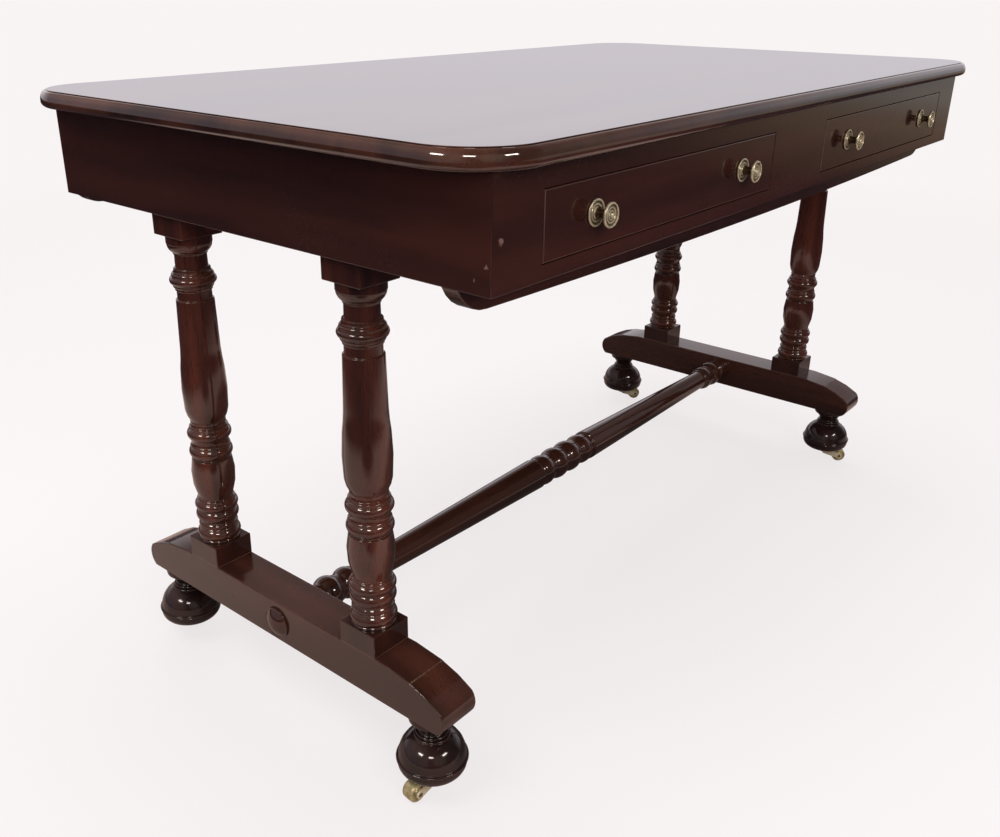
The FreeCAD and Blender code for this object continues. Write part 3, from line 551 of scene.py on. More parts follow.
def make_back_board(sizes, looks):
    """The back of the frieze, mitred at both corners."""
    low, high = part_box("frieze_back")
    piece = start_block("back_board", low, high)
    for place, sign in ((low.x, 1), (high.x, -1)):
        mitre(piece, lambda corner: same(corner.co.y, low.y) and same(corner.co.x, place),
              Vector((sign * (high.y - low.y), 0, 0)))
    round_edges(piece, sizes.arris, sizes.edge_steps,
                lambda edge: all_at(edge, 1, high.y) and not all_at(edge, 2, high.z))
    smooth(piece, flats=True)
    fit(piece, "table", "mahogany", looks["boards"], "frieze_back")


def make_front_rail(node, name, sizes, looks):
    """A rail along the front, mitred where it shows and deeper inside."""
    low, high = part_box(node)
    end_low, end_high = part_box("frieze_end_left")
    board = end_high.x - end_low.x
    back = low.y + board
    piece = start_block(name, low, Vector((high.x, back, high.z)))
    for place, sign in ((low.x, 1), (high.x, -1)):
        mitre(piece, lambda corner: same(corner.co.y, back) and same(corner.co.x, place),
              Vector((sign * board, 0, 0)))
    choose(piece, "faces", lambda face: face.normal.y > facing_share)
    bpy.ops.mesh.extrude_region_move(TRANSFORM_OT_translate={"value": (0, high.y - back, 0)})
    below = name == "bottom_rail"
    round_edges(piece, sizes.arris, sizes.edge_steps, lambda edge: all_at(edge, 1, low.y)
                and (all_at(edge, 0, low.x) or all_at(edge, 0, high.x) or below and all_at(edge, 2, low.z)))
    smooth(piece, flats=True)
    fit(piece, "table", "mahogany", looks["boards"], node)


def make_stile(place, sizes, looks):
    """An upright of the front: the outer two are mitred to the end boards."""
    node = "front_stile_" + place
    low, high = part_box(node)
    piece = start_block("stile_" + place, low, high)
    if place != "centre":
        outer, sign = (low.x, 1) if place == "left" else (high.x, -1)
        mitre(piece, lambda corner: same(corner.co.x, outer) and same(corner.co.y, high.y),
              Vector((sign * (high.y - low.y), 0, 0)))
    round_edges(piece, sizes.arris, sizes.edge_steps,
                lambda edge: all_at(edge, 1, low.y) and runs_along(edge, 2))
    smooth(piece, flats=True)
    fit(piece, "table", "mahogany", looks["boards"], node)


def make_under_rail(node, name, run, lift, sag, sizes, looks):
    """A rail under the frieze: each end curves up to it, and the lower edge sags a little between them."""
    low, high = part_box(node)
    bottom = low.z + lift
    rise = high.z - bottom
    radius = (run ** 2 + rise ** 2) / (2 * rise)
    half_turn = math.atan2(run, radius - rise) / 2
    foot = Vector((high.x - run, bottom))
    via = Vector((foot.x + radius * math.sin(half_turn), bottom + radius * (1 - math.cos(half_turn))))
    shares = [index / sizes.rail_steps for index in range(sizes.rail_steps)]
    curve = [Vector((share * foot.x, bottom - sag * (1 - share ** 2))) for share in shares]
    curve += [foot] + arc(foot, via, Vector((high.x, high.z)))
    outline = curve + [Vector((-point.x, point.y)) for point in reversed(curve[1:])]
    piece = sawn(name, [Vector((point.x, low.y, point.y)) for point in outline],
                 Vector((0, high.y - low.y, 0)))
    round_edges(piece, sizes.arris, sizes.edge_steps, lambda edge: not all_at(edge, 2, high.z) and (
        all_at(edge, 1, low.y) or all_at(edge, 1, high.y)))
    smooth(piece, flats=True)
    fit(piece, "table", "mahogany", looks["along"], node)


def make_column_pattern(sizes, turnery):
    """A column about the upright through the origin, with its square block and plinth."""
    sled_low, sled_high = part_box("sled_left")
    width = sled_high.x - sled_low.x
    frieze_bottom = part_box("front_bottom_rail")[0].z
    foot = up * (sled_high.z + sizes.plinth)
    height = frieze_bottom - sizes.column_block - foot.z
    points = eased(drawn(column_shares, height, turnery.column_radius), turnery.ease)
    piece = turned("column_pattern", points, foot, up, right, turnery.facets)
    for bottom, top in ((sled_high.z - sizes.sled_arris, foot.z), (foot.z + height, frieze_bottom)):
        bpy.ops.mesh.select_all(action="DESELECT")
        bpy.ops.mesh.primitive_cube_add(size=1, location=up * (bottom + top) / 2,
                                        scale=Vector((width, width, top - bottom)))
        bpy.ops.mesh.bevel(offset=sizes.block_arris, segments=sizes.edge_steps, affect="EDGES")
    smooth(piece, flats=True)
    return piece


def make_columns(sizes, turnery, looks):
    """The four columns."""
    pattern = make_column_pattern(sizes, turnery)
    for corner in corners:
        node = "column_" + corner
        middle = middle_of(node)
        column = copy_to(pattern, "turned_column_" + corner, Vector((middle.x, middle.y, 0)))
        fit(column, "table", "mahogany", looks["upright"], node)
    discard(pattern)


def toe_points(sizes, low, high, side):
    """The outline of a toe, from the end of the flat to the heel, as (distance along, height)."""
    start = high.y - sizes.toe_length
    rise = high.z - low.z
    slope, crease, crown, shoulder, tip, heel = (
        Vector((start + along * sizes.toe_length, low.z + share * rise))
        for along, share in toe_shares)
    points = [Vector((start, high.z)), slope, crease]
    points += arc(crease, crown, shoulder) + arc(shoulder, tip, heel)
    return [Vector((side * point.x, point.y)) for point in points]


def make_sled(side, sizes, looks):
    """A sled foot, sawn to its outline with a toe at each end."""
    node = "sled_" + side
    low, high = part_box(node)
    outline = toe_points(sizes, low, high, 1) + list(reversed(toe_points(sizes, low, high, -1)))
    piece = sawn("sled_foot_" + side, [Vector((low.x, point.x, point.y)) for point in outline],
                 Vector((high.x - low.x, 0, 0)))
    round_edges(piece, sizes.sled_arris, sizes.edge_steps,
                lambda edge: all_at(edge, 0, low.x) or all_at(edge, 0, high.x))
    smooth(piece, flats=True)
    fit(piece, "table", "mahogany", looks["across"], node)


def make_feet(turnery, looks):
    """The four bun feet."""
    for corner in corners:
        node = "bun_foot_" + corner
        middle = middle_of(node)
        foot = Vector((middle.x, middle.y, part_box(node)[0].z))
        points = eased(drawn(foot_shares, turnery.foot_height, turnery.foot_radius), turnery.ease)
        piece = turned("turned_foot_" + corner, points, foot, up, right, turnery.facets)
        smooth(piece)
        fit(piece, "table", "mahogany", looks["feet"], node)


def make_stretcher(turnery, looks):
    """The stretcher: half of its outline is drawn, mirrored about the middle and spun."""
    half = -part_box("sled_left")[1].x
    radius = turnery.stretcher_radius
    ends = drawn(stretcher_end_shares, turnery.end_turning, radius)
    start = half - turnery.middle_turning
    middle = drawn(stretcher_middle_shares, turnery.middle_turning, radius)
    outline = ends + [point + Vector((start, 0)) for point in middle]
    outline += [Vector((2 * half - point.x, point.y)) for point in reversed(outline[:-1])]
    foot = Vector((-half, 0, middle_of("stretcher").z))
    piece = turned("turned_stretcher", eased(outline, turnery.ease), foot, right, up, turnery.facets)
    smooth(piece)
    fit(piece, "table", "mahogany", looks["turned"], "stretcher")


def make_covers(turnery, brass, looks):
    """The two turned buttons over the bolts, in one piece as their node is."""
    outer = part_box("sled_right")[1].x
    points = eased(drawn(cover_shares, brass.cover_height, brass.cover_radius), turnery.ease)
    buttons = []
    for side in (-1, 1):
        foot = Vector((side * outer, 0, middle_of("stretcher").z))
        buttons.append(turned("bolt_button", points, foot, right * side, up, turnery.facets))
    piece = joined("bolt_buttons", buttons)
    smooth(piece)
    fit(piece, "table", "mahogany", looks["upright"], "bolt_covers")


def joined(name, pieces):
    """Several pieces as one object."""
    pick(*pieces)
    bpy.ops.object.join()
    pieces[0].name = name
    pieces[0].data.name = name
    return pieces[0]


def make_drawer_front(side, sizes, looks):
    """A drawer front with the sockets for its sides, its outer edges softly rounded."""
    node = "drawer_" + side + "_front"
    pick(frame["nodes"][node])
    bpy.ops.object.duplicate(linked=False)
    piece = start_shaping("drawer_face_" + side)
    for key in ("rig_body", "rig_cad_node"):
        del piece[key]
    bpy.ops.mesh.remove_doubles(threshold=weld)
    bpy.ops.mesh.customdata_custom_splitnormals_clear()
    bpy.ops.mesh.dissolve_limited(angle_limit=flat_angle)
    low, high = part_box(node)
    round_edges(piece, sizes.drawer_arris, sizes.edge_steps, lambda edge: all_at(edge, 1, low.y) and any(
        all_at(edge, axis, corner[axis]) for axis in (0, 2) for corner in (low, high)))
    smooth(piece, flats=True)
    fit(piece, "drawer_" + side, "mahogany", looks["drawers"], node)


def make_knob(side, place, turnery, brass, looks):
    """A knob and the backplate that it stands on."""
    node = "knob_" + side + "_" + place
    middle = middle_of(node)
    foot = Vector((middle.x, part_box("drawer_" + side + "_front")[0].y, middle.z))
    points = eased(drawn(knob_shares, brass.knob_reach, brass.knob_radius), turnery.small_ease)
    piece = turned("brass_knob_" + side + "_" + place, points, foot, forward, up, turnery.brass_facets)
    smooth(piece)
    fit(piece, "drawer_" + side, "brass", looks["knob_brass"], node)
    points = eased(drawn(backplate_shares, brass.backplate_thickness, brass.backplate_radius),
                   turnery.small_ease)
    return turned("backplate", points, foot, forward, up, turnery.brass_facets)


def make_horn(centre, inside, turnery, brass):
    """A horn that trails along +X: a turned body, two cheeks and the bridge between them."""
    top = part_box("caster_plates")[0].z - brass.horn_gap
    points = eased(drawn(horn_shares, brass.horn_height, brass.horn_radius), turnery.small_ease)
    body = turned("horn_body", points, up * (top - brass.horn_height), up, right, turnery.brass_facets)
    hip = top - brass.cheek_drop
    outline = cheek_points(Vector((0, hip)), brass.cheek_top_radius,
                           Vector((centre.x, centre.z)), brass.cheek_axle_radius)
    cheeks = []
    for side in (-1, 1):
        cheek = sawn("horn_cheek", [Vector((point.x, side * inside, point.y)) for point in outline],
                     Vector((0, side * brass.cheek_thickness, 0)))
        round_edges(cheek, brass.cheek_arris, brass_edge_steps, lambda edge: not runs_along(edge, 1))
        cheeks.append(cheek)
    bridge = start_block("horn_bridge", Vector((-brass.cheek_top_radius, -inside, hip)),
                         Vector((brass.cheek_top_radius, inside, top - brass.cheek_drop / 2)))
    round_edges(bridge, brass.cheek_arris, brass_edge_steps, lambda edge: True)
    horn = joined("horn_pattern", [body, bridge] + cheeks)
    smooth(horn, flats=True)
    return horn


def make_caster_patterns(turnery, brass):
    """A horn, an axle and a wheel that trail along +X from the origin."""
    wheel_low, wheel_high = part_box("caster_wheel_front_left")
    swivel = middle_of("bun_foot_front_left")
    hub = middle_of("caster_wheel_front_left")
    trail = (Vector((hub.x, hub.y)) - Vector((swivel.x, swivel.y))).length
    centre = Vector((trail, 0, hub.z))
    width = wheel_high.y - wheel_low.y
    inside = width / 2 + brass.cheek_gap
    reach = 2 * (inside + brass.cheek_thickness) + 2 * brass.cheek_gap
    patterns = {"horn": make_horn(centre, inside, turnery, brass)}
    for part, shares, across, radius in (("axle", axle_shares, reach, brass.axle_head_radius),
                                         ("wheel", wheel_shares, width, hub.z)):
        points = eased(drawn(shares, across, radius), turnery.small_ease)
        foot = centre + forward * across / 2
        patterns[part] = turned(part + "_pattern", points, foot, -forward, up, turnery.brass_facets)
        smooth(patterns[part])
    return patterns


def cheek_points(start, start_radius, end, end_radius):
    """The outline of a link plate round two centres, its long edges tangent to both ends."""
    span = end - start
    heading = math.atan2(span.y, span.x)
    lean = math.acos((start_radius - end_radius) / span.length)
    points = []
    for centre, radius, first, sweep in ((end, end_radius, heading - lean, 2 * lean),
                                         (start, start_radius, heading + lean, math.tau - 2 * lean)):
        steps = math.ceil(sweep / arc_step)
        for index in range(steps + 1):
            turn = first + sweep * index / steps
            points.append(centre + radius * Vector((math.cos(turn), math.sin(turn))))
    return points


def make_casters(turnery, brass, looks):
    """The four casters, each turned as its frame is, and their plates."""
    patterns = make_caster_patterns(turnery, brass)
    plates = []
    for corner in corners:
        swivel = middle_of("bun_foot_" + corner)
        hub = middle_of("caster_wheel_" + corner)
        turn = math.atan2(hub.y - swivel.y, hub.x - swivel.x)
        place = Vector((swivel.x, swivel.y, 0))
        for part, body, look in (("horn", "swivel", "horn_brass"), ("axle", "swivel", "knob_brass"),
                                 ("wheel", "roller", "wheel_brass")):
            copy = copy_to(patterns[part], "brass_" + part + "_" + corner, place, turn)
            fit(copy, "caster_" + body + "_" + corner, "brass", looks[look], "caster_" + part + "_" + corner)
        points = eased(drawn(caster_plate_shares, brass.plate_thickness, brass.plate_radius),
                       turnery.small_ease)
        foot = Vector((swivel.x, swivel.y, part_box("bun_foot_" + corner)[0].z - brass.plate_thickness))
        plates.append(turned("caster_plate", points, foot, up, right, turnery.brass_facets))
    piece = joined("brass_caster_plates", plates)
    smooth(piece)
    fit(piece, "table", "brass", looks["brass"], "caster_plates")
    for pattern in patterns.values():
        discard(pattern)


# Noise textures: scale, detail, roughness and distortion
streak_noise = (2.4, 7.0, 0.62, 0.5)
cloud_noise = (2.1, 3.0, 0.5, 0.8)
pore_noise = (1.0, 1.0, 0.55, 0.0)
wear_noise = (46.0, 6.0, 0.78, 0.0)
broad_scuffs = (7.0, 4.0, 0.6, 0.4)
fine_scuffs = (190.0, 3.0, 0.6, 0.0)
wave_noise = (24.0, 1.0, 0.4, 0.0)
rub_noise = (9.0, 7.0, 0.72, 0.0)
chip_noise = (420.0, 3.0, 0.7, 0.0)
fine_tarnish = (260.0, 4.0, 0.6, 0.0)
broad_tarnish = (95.0, 4.0, 0.6, 0.0)
streak_stretch = (1.6, 26.0, 26.0)
cloud_stretch = (1.0, 3.2, 3.2)
ring_stretch = (0.35, 2.4, 2.4)
pore_stretch = (38.0, 900.0, 900.0)
year_rings = {"Scale": 3.2, "Distortion": 5.0, "Detail": 3.0, "Detail Scale": 1.4}

# The ranges of those textures, and of bevels and corners, that each effect spreads over
tone_range = (0.35, 0.65)
pore_range = (0.6, 0.7)
edge_range = (0.992, 0.86)
wear_range = (0.44, 0.62)
corner_range = (0.85, 0.35)
broad_scuff_range = (0.4, 0.72)
fine_scuff_range = (0.3, 0.7)
rub_range = (0.42, 0.7)
tarnish_range = (0.35, 0.7)
coat_range = (0.2, 0.9)

# How strongly each effect colours a finish
cloud_share = 0.5
dark_foot_share = 0.65
glue_share = 0.6
rub_share = 0.22
brass_grime_and_shade_share = 0.9
brass_edge_share = 0.8
relief_share = 0.3
brass_bump = 0.15
least_coat = 0.1

# Rays for the edges and corners of each finish
edge_samples = 6


def put(tree, kind, settings=None, sockets=None):
    """Adds a node, with its settings, and its sockets filled with values or other nodes' outputs."""
    made = tree.nodes.new(kind)
    made.location.x = node_gap * len(tree.nodes)
    for name, value in (settings or {}).items():
        setattr(made, name, value)
    fill(tree, made, sockets or {})
    return made


def fill(tree, made, sockets):
    """Fills a node's sockets with values or other nodes' outputs."""
    for name, value in sockets.items():
        if isinstance(value, bpy.types.NodeSocket):
            tree.links.new(value, made.inputs[name])
        else:
            made.inputs[name].default_value = value


def sum_of(tree, operation, first, second=0.0, third=0.0):
    """The output of a Math node, kept between 0 and 1."""
    return put(tree, "ShaderNodeMath", {"operation": operation, "use_clamp": True},
               {0: first, 1: second, 2: third}).outputs[0]


def product(tree, first, second):
    """Two masks multiplied."""
    return sum_of(tree, "MULTIPLY", first, second)


def ramped(tree, value, low, high, to_low=0.0, to_high=1.0):
    """A value spread from one range to another."""
    sockets = {"Value": value, "From Min": low, "From Max": high, "To Min": to_low, "To Max": to_high}
    return put(tree, "ShaderNodeMapRange", {"clamp": True}, sockets).outputs[0]


def mixed(tree, factor, first, second):
    """A colour between two others."""
    made = put(tree, "ShaderNodeMix", {"data_type": "RGBA"}, {0: factor, 6: first, 7: second})
    return made.outputs[2]


def noise(tree, place, scale, detail, roughness, distortion):
    """The value of a noise texture."""
    return put(tree, "ShaderNodeTexNoise", {}, {"Vector": place, "Scale": scale, "Detail": detail,
               "Roughness": roughness, "Distortion": distortion}).outputs[0]


def stretched(tree, place, amounts):
    """A place with each axis scaled."""
    return put(tree, "ShaderNodeVectorMath", {"operation": "MULTIPLY"}, {0: place, 1: amounts}).outputs[0]


def measured(tree, operation, first, second=(0.0, 0.0, 0.0)):
    """A distance, a length or an agreement of two directions."""
    made = put(tree, "ShaderNodeVectorMath", {"operation": operation}, {0: first, 1: second})
    return made.outputs["Value"]


def part_of(tree, place, axis):
    """One axis of a place."""
    return put(tree, "ShaderNodeSeparateXYZ", {}, {0: place}).outputs[axis]


def piece_place(tree):
    """The place on the piece in metres."""
    return put(tree, "ShaderNodeTexCoord").outputs["Object"]


def new_group(name, inputs, outputs):
    """An empty shader node group with named sockets."""
    group = bpy.data.node_groups.new(name, "ShaderNodeTree")
    for direction, sockets in (("INPUT", inputs), ("OUTPUT", outputs)):
        for socket, kind in sockets.items():
            group.interface.new_socket(name=socket, in_out=direction, socket_type="NodeSocket" + kind)
    return group, group.nodes.new("NodeGroupInput"), group.nodes.new("NodeGroupOutput")


def grain_group():
    """Wood grain that runs along the group's own X: its tone, its open pores and their relief."""
    group, inward, outward = new_group("Wood grain", {"Place": "Vector", "Figure": "Float"},
                                       {"Tone": "Float", "Pores": "Float", "Relief": "Float"})
    place = inward.outputs["Place"]
    streaks = noise(group, stretched(group, place, streak_stretch), *streak_noise)
    cloud = noise(group, stretched(group, place, cloud_stretch), *cloud_noise)
    waves = put(group, "ShaderNodeTexWave", {"wave_type": "RINGS", "rings_direction": "X"},
                {"Vector": stretched(group, place, ring_stretch), **year_rings}).outputs[1]
    rings = put(group, "ShaderNodeMix", {"data_type": "FLOAT"},
                {0: inward.outputs["Figure"], 2: streaks, 3: waves}).outputs[0]
    tone = sum_of(group, "MULTIPLY_ADD", rings, 1 - cloud_share, product(group, cloud, cloud_share))
    pores = noise(group, stretched(group, place, pore_stretch), *pore_noise)
    pores = ramped(group, pores, *pore_range)
    fill(group, outward, {"Tone": ramped(group, tone, *tone_range), "Pores": pores,
                          "Relief": sum_of(group, "SUBTRACT", streaks, pores)})
    return group


def wear_group():
    """Edge masks: one of all the arrises, and one that is patchy along them as rubbed edges are."""
    group, inward, outward = new_group("Edge wear", {"Place": "Vector", "Radius": "Float"},
                                       {"Wear": "Float", "Edge": "Float"})
    bevel = put(group, "ShaderNodeBevel", {"samples": edge_samples}, {"Radius": inward.outputs["Radius"]})
    surface = put(group, "ShaderNodeNewGeometry")
    agree = measured(group, "DOT_PRODUCT", bevel.outputs[0], surface.outputs["Normal"])
    edge = ramped(group, agree, *edge_range)
    patches = noise(group, inward.outputs["Place"], *wear_noise)
    fill(group, outward, {"Edge": edge, "Wear": product(group, edge, ramped(group, patches, *wear_range))})
    return group


def grime_and_shade_group():
    """Old wax and dust in corners and under rings, and painted shade there: the mask follows ambient
    occlusion.
    """
    group, inward, outward = new_group("Corner grime", {"Reach": "Float"}, {"Grime": "Float"})
    shade = put(group, "ShaderNodeAmbientOcclusion", {"samples": edge_samples, "only_local": True},
                {"Distance": inward.outputs["Reach"]})
    fill(group, outward, {"Grime": ramped(group, shade.outputs["AO"], *corner_range)})
    return group


def polish_group():
    """Uneven polish: scuffs that dull the gloss, and a slow waviness of the surface."""
    group, inward, outward = new_group("Uneven polish", {"Place": "Vector"},
                                       {"Scuffs": "Float", "Waviness": "Float"})
    place = inward.outputs["Place"]
    broad = ramped(group, noise(group, place, *broad_scuffs), *broad_scuff_range)
    fine = ramped(group, noise(group, place, *fine_scuffs), *fine_scuff_range)
    waviness = noise(group, place, *wave_noise)
    fill(group, outward, {"Scuffs": product(group, broad, fine), "Waviness": waviness})
    return group


def new_material(name, settings):
    """A material with its shader's own settings."""
    material = bpy.data.materials.new(name)
    material.use_nodes = True
    tree = material.node_tree
    shader = tree.nodes["Principled BSDF"]
    fill(tree, shader, settings)
    return material, tree, shader


def turned_place(tree, turn):
    """The place on the piece, turned so that the grain lies along X."""
    mapping = put(tree, "ShaderNodeMapping", {}, {"Vector": piece_place(tree), "Rotation": turn})
    return mapping.outputs[0]


def use_group(tree, groups, name, sockets):
    """One of the shared groups, placed in a material."""
    return put(tree, "ShaderNodeGroup", {"node_tree": groups[name]}, sockets).outputs


def darkened_low(tree, body, tones, sled_top):
    """A column's foot, darker up to a height above the sled, with a line of old glue along its joint."""
    height = part_of(tree, piece_place(tree), "Z")
    below = sum_of(tree, "LESS_THAN", height, sled_top + dark_foot_height)
    # Darker towards the bottom: the plinth and the lowest part of the column
    body = mixed(tree, product(tree, below, dark_foot_share), body, tones["dark"])
    glue = sum_of(tree, "COMPARE", height, sled_top + glue_height, glue_half_width)
    return mixed(tree, product(tree, glue, glue_share), body, tones["worn"])


def rubbed(tree, place, body, tones, table_top):
    """The nose of the top, rubbed in patches below the flat field."""
    height = part_of(tree, piece_place(tree), "Z")
    below = sum_of(tree, "LESS_THAN", height, table_top - rub_drop)
    patches = ramped(tree, noise(tree, place, *rub_noise), *rub_range)
    return mixed(tree, product(tree, product(tree, below, patches), rub_share), body, tones["worn"])


def chipped(tree, place, body, tones, corner):
    """Small ragged chips near the front left corner of the frieze."""
    for offset, radius in frieze_chips:
        reach = measured(tree, "DISTANCE", piece_place(tree), corner + Vector(offset))
        ragged = sum_of(tree, "MULTIPLY_ADD", noise(tree, place, *chip_noise), chip_raggedness, reach)
        body = mixed(tree, sum_of(tree, "LESS_THAN", ragged, radius), body, tones["worn"])
    return body


def wood(name, groups, turn, tones, gloss, figure):
    """A wood finish with its grain, its pores, worn edges, and corners darkened by grime and painted shade.
    """
    material, tree, shader = new_material(name, gloss["shader"])
    place = turned_place(tree, turn)
    grain = use_group(tree, groups, "grain", {"Place": place, "Figure": figure})
    polish = use_group(tree, groups, "polish", {"Place": place})
    wear = use_group(tree, groups, "wear", {"Place": place, "Radius": gloss["wear"]})[gloss["worn_at"]]
    grime = use_group(tree, groups, "grime", {"Reach": gloss["grime"]})["Grime"]
    body = mixed(tree, grain["Tone"], tones["dark"], tones["light"])
    body = mixed(tree, product(tree, grain["Pores"], gloss["pores"]), body, tones["grimy_and_shaded"])
    # Edges in the light tone: patchy wear, and on the drawer fronts a painted highlight along every arris
    body = mixed(tree, product(tree, wear, gloss["wear_share"]), body, tones["worn"])
    # Corners darkened towards the wax colour: old wax, and painted shade where ambient occlusion finds them
    # shaded
    body = mixed(tree, product(tree, grime, gloss["grime_and_shade_share"]), body, tones["grimy_and_shaded"])
    if "sled_top" in gloss:
        body = darkened_low(tree, body, tones, gloss["sled_top"])
    if "table_top" in gloss:
        body = rubbed(tree, place, body, tones, gloss["table_top"])
    if "corner" in gloss:
        body = chipped(tree, place, body, tones, gloss["corner"])
    height = sum_of(tree, "MULTIPLY_ADD", grain["Relief"], relief_share, polish["Waviness"])
    bump = put(tree, "ShaderNodeBump", {},
               {"Strength": gloss["bump"], "Distance": relief_depth, "Height": height})
    fill(tree, shader, {"Base Color": body, "Normal": bump.outputs[0],
                        "Roughness": ramped(tree, polish["Scuffs"], 0.0, 1.0, *gloss["roughness"])})
    if "clear_coat" in gloss:
        coat = ramped(tree, grime, *coat_range, gloss["clear_coat"], least_coat)
        fill(tree, shader, {"Coat Weight": coat})
    return material


def metal(name, groups, tones, shine):
    """A metal finish with tarnish in blotches, corners darkened by grime and painted shade, and bright
    edges; a knob also gets a painted shadow on its neck and painted highlights on its rims.
    """
    material, tree, shader = new_material(name, {"Metallic": shine["metallic"]})
    place = piece_place(tree)
    polish = use_group(tree, groups, "polish", {"Place": place})
    edge = use_group(tree, groups, "wear", {"Place": place, "Radius": fine_wear})["Edge"]
    grime = use_group(tree, groups, "grime", {"Reach": fine_grime_and_shade})["Grime"]
    tarnish = ramped(tree, noise(tree, place, *shine["tarnish"]), *tarnish_range)
    body = mixed(tree, product(tree, tarnish, shine["tarnish_share"]), tones["light"], tones["dark"])
    # Corners darkened: tarnish, and painted shade where ambient occlusion finds them shaded
    body = mixed(tree, product(tree, grime, brass_grime_and_shade_share), body, tones["dark"])
    body = mixed(tree, product(tree, edge, brass_edge_share), body, tones["worn"])
    if "front" in shine:
        reach = sum_of(tree, "SUBTRACT", shine["front"], part_of(tree, place, "Y"))
        # A painted shadow on the knob's neck
        body = mixed(tree, sum_of(tree, "COMPARE", reach, *knob_shadow), body, tones["dark"])
        # Painted highlights on the rims of the knob and of its backplate
        for start, full, end in knob_rim_highlights:
            rim = product(tree, ramped(tree, reach, start, full), sum_of(tree, "LESS_THAN", reach, end))
            body = mixed(tree, rim, body, tones["worn"])
    dull = sum_of(tree, "MAXIMUM", tarnish, grime)
    bump = put(tree, "ShaderNodeBump", {},
               {"Strength": brass_bump, "Distance": relief_depth, "Height": polish["Waviness"]})
    fill(tree, shader, {"Base Color": body, "Normal": bump.outputs[0],
                        "Roughness": ramped(tree, dull, 0.0, 1.0, *shine["roughness"])})
    return material


# Reach of wear, and of grime and painted shade, depth of relief, and heights above a sled or below the
# field, in metres
relief_depth = 0.0004
fine_wear = 0.0006
fine_grime_and_shade = 0.002
dark_foot_height = 0.030
glue_height = 0.0003
glue_half_width = 0.0006
rub_drop = 0.0015
chip_raggedness = 0.008

# Chips: place from the lower front corner of the frieze, and radius
frieze_chips = (
    ((0.012, 0.0, 0.0471), 0.0068), ((0.0, 0.0057, 0.0263), 0.0058), ((0.0, 0.0189, 0.0131), 0.005),
)

# Distances out of a drawer: the middle and half-width of the painted shadow on a knob's neck, and where the
# painted highlights on the rims of a knob and of a backplate start, are full and end
knob_shadow = (0.010, 0.0054)
knob_rim_highlights = ((0.0168, 0.0182, 1.0), (0.0012, 0.0022, 0.0035))

french_polish = {
    "shader": {"Coat Weight": 1.0, "Coat Roughness": 0.04, "Coat IOR": 1.5, "IOR": 1.5},
    "roughness": (0.16, 0.34), "wear": 0.0022, "wear_share": 0.6, "worn_at": "Wear",
    "grime": 0.010, "grime_and_shade_share": 0.7, "bump": 0.10, "pores": 0.55,
}
top_polish = {
    **french_polish, "shader": {"Coat Weight": 1.0, "Coat Roughness": 0.03, "Coat IOR": 1.55, "IOR": 1.5},
    "roughness": (0.06, 0.14), "wear_share": 0.5, "grime": 0.006, "bump": 0.04,
    "table_top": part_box("table_top")[1].z,
}
board_polish = {
    **french_polish, "wear_share": 0.0, "pores": 0.3, "corner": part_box("frieze_end_left")[0],
}
# The drawer fronts take the light tone all along their arrises, as a painted highlight
drawer_polish_with_edge_highlight = {**board_polish, "wear_share": 1.0, "worn_at": "Edge", "wear": 0.002}
sled_polish = {**french_polish, "wear_share": 1.0}
turned_polish = {
    **french_polish, "shader": {"Coat Roughness": 0.07, "Coat IOR": 1.5, "IOR": 1.5},
    "clear_coat": 0.9, "roughness": (0.1, 0.22), "grime": 0.009, "grime_and_shade_share": 0.92,
}
column_polish = {**turned_polish, "sled_top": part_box("sled_left")[1].z}
foot_polish = {**turned_polish, "clear_coat": 0.35}
bare_wood = {
    "shader": {"Coat Weight": 0.0, "IOR": 1.45},
    "roughness": (0.55, 0.75), "wear": 0.0015, "wear_share": 0.3, "worn_at": "Wear",
    "grime": 0.012, "grime_and_shade_share": 0.7, "bump": 0.35, "pores": 0.55,
}
old_brass = {"roughness": (0.25, 0.45), "tarnish": fine_tarnish, "tarnish_share": 0.3, "metallic": 0.5}
horn_brass = {**old_brass, "metallic": 0.3}
wheel_brass = {**old_brass, "tarnish": broad_tarnish, "tarnish_share": 0.9}
knob_brass = {**old_brass, "roughness": (0.2, 0.4), "front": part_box("drawer_left_front")[0].y}
old_steel = {**old_brass, "roughness": (0.35, 0.6), "metallic": 1.0}
grain_along = (0.0, 0.0, 0.0)
grain_across = (0.0, 0.0, math.radians(90))
grain_upright = (0.0, math.radians(90), 0.0)
board_figure = 0.25
top_figure = 0.45
lining_figure = 0.15
pine_figure = 0.5


def toned(dark, light, worn, grimy_and_shaded=(0.0, 0.0, 0.0)):
    """The tones of a finish by their names."""
    return {"dark": (*dark, 1), "light": (*light, 1), "worn": (*worn, 1), "grimy_and_shaded": (*grimy_and_shaded, 1)}


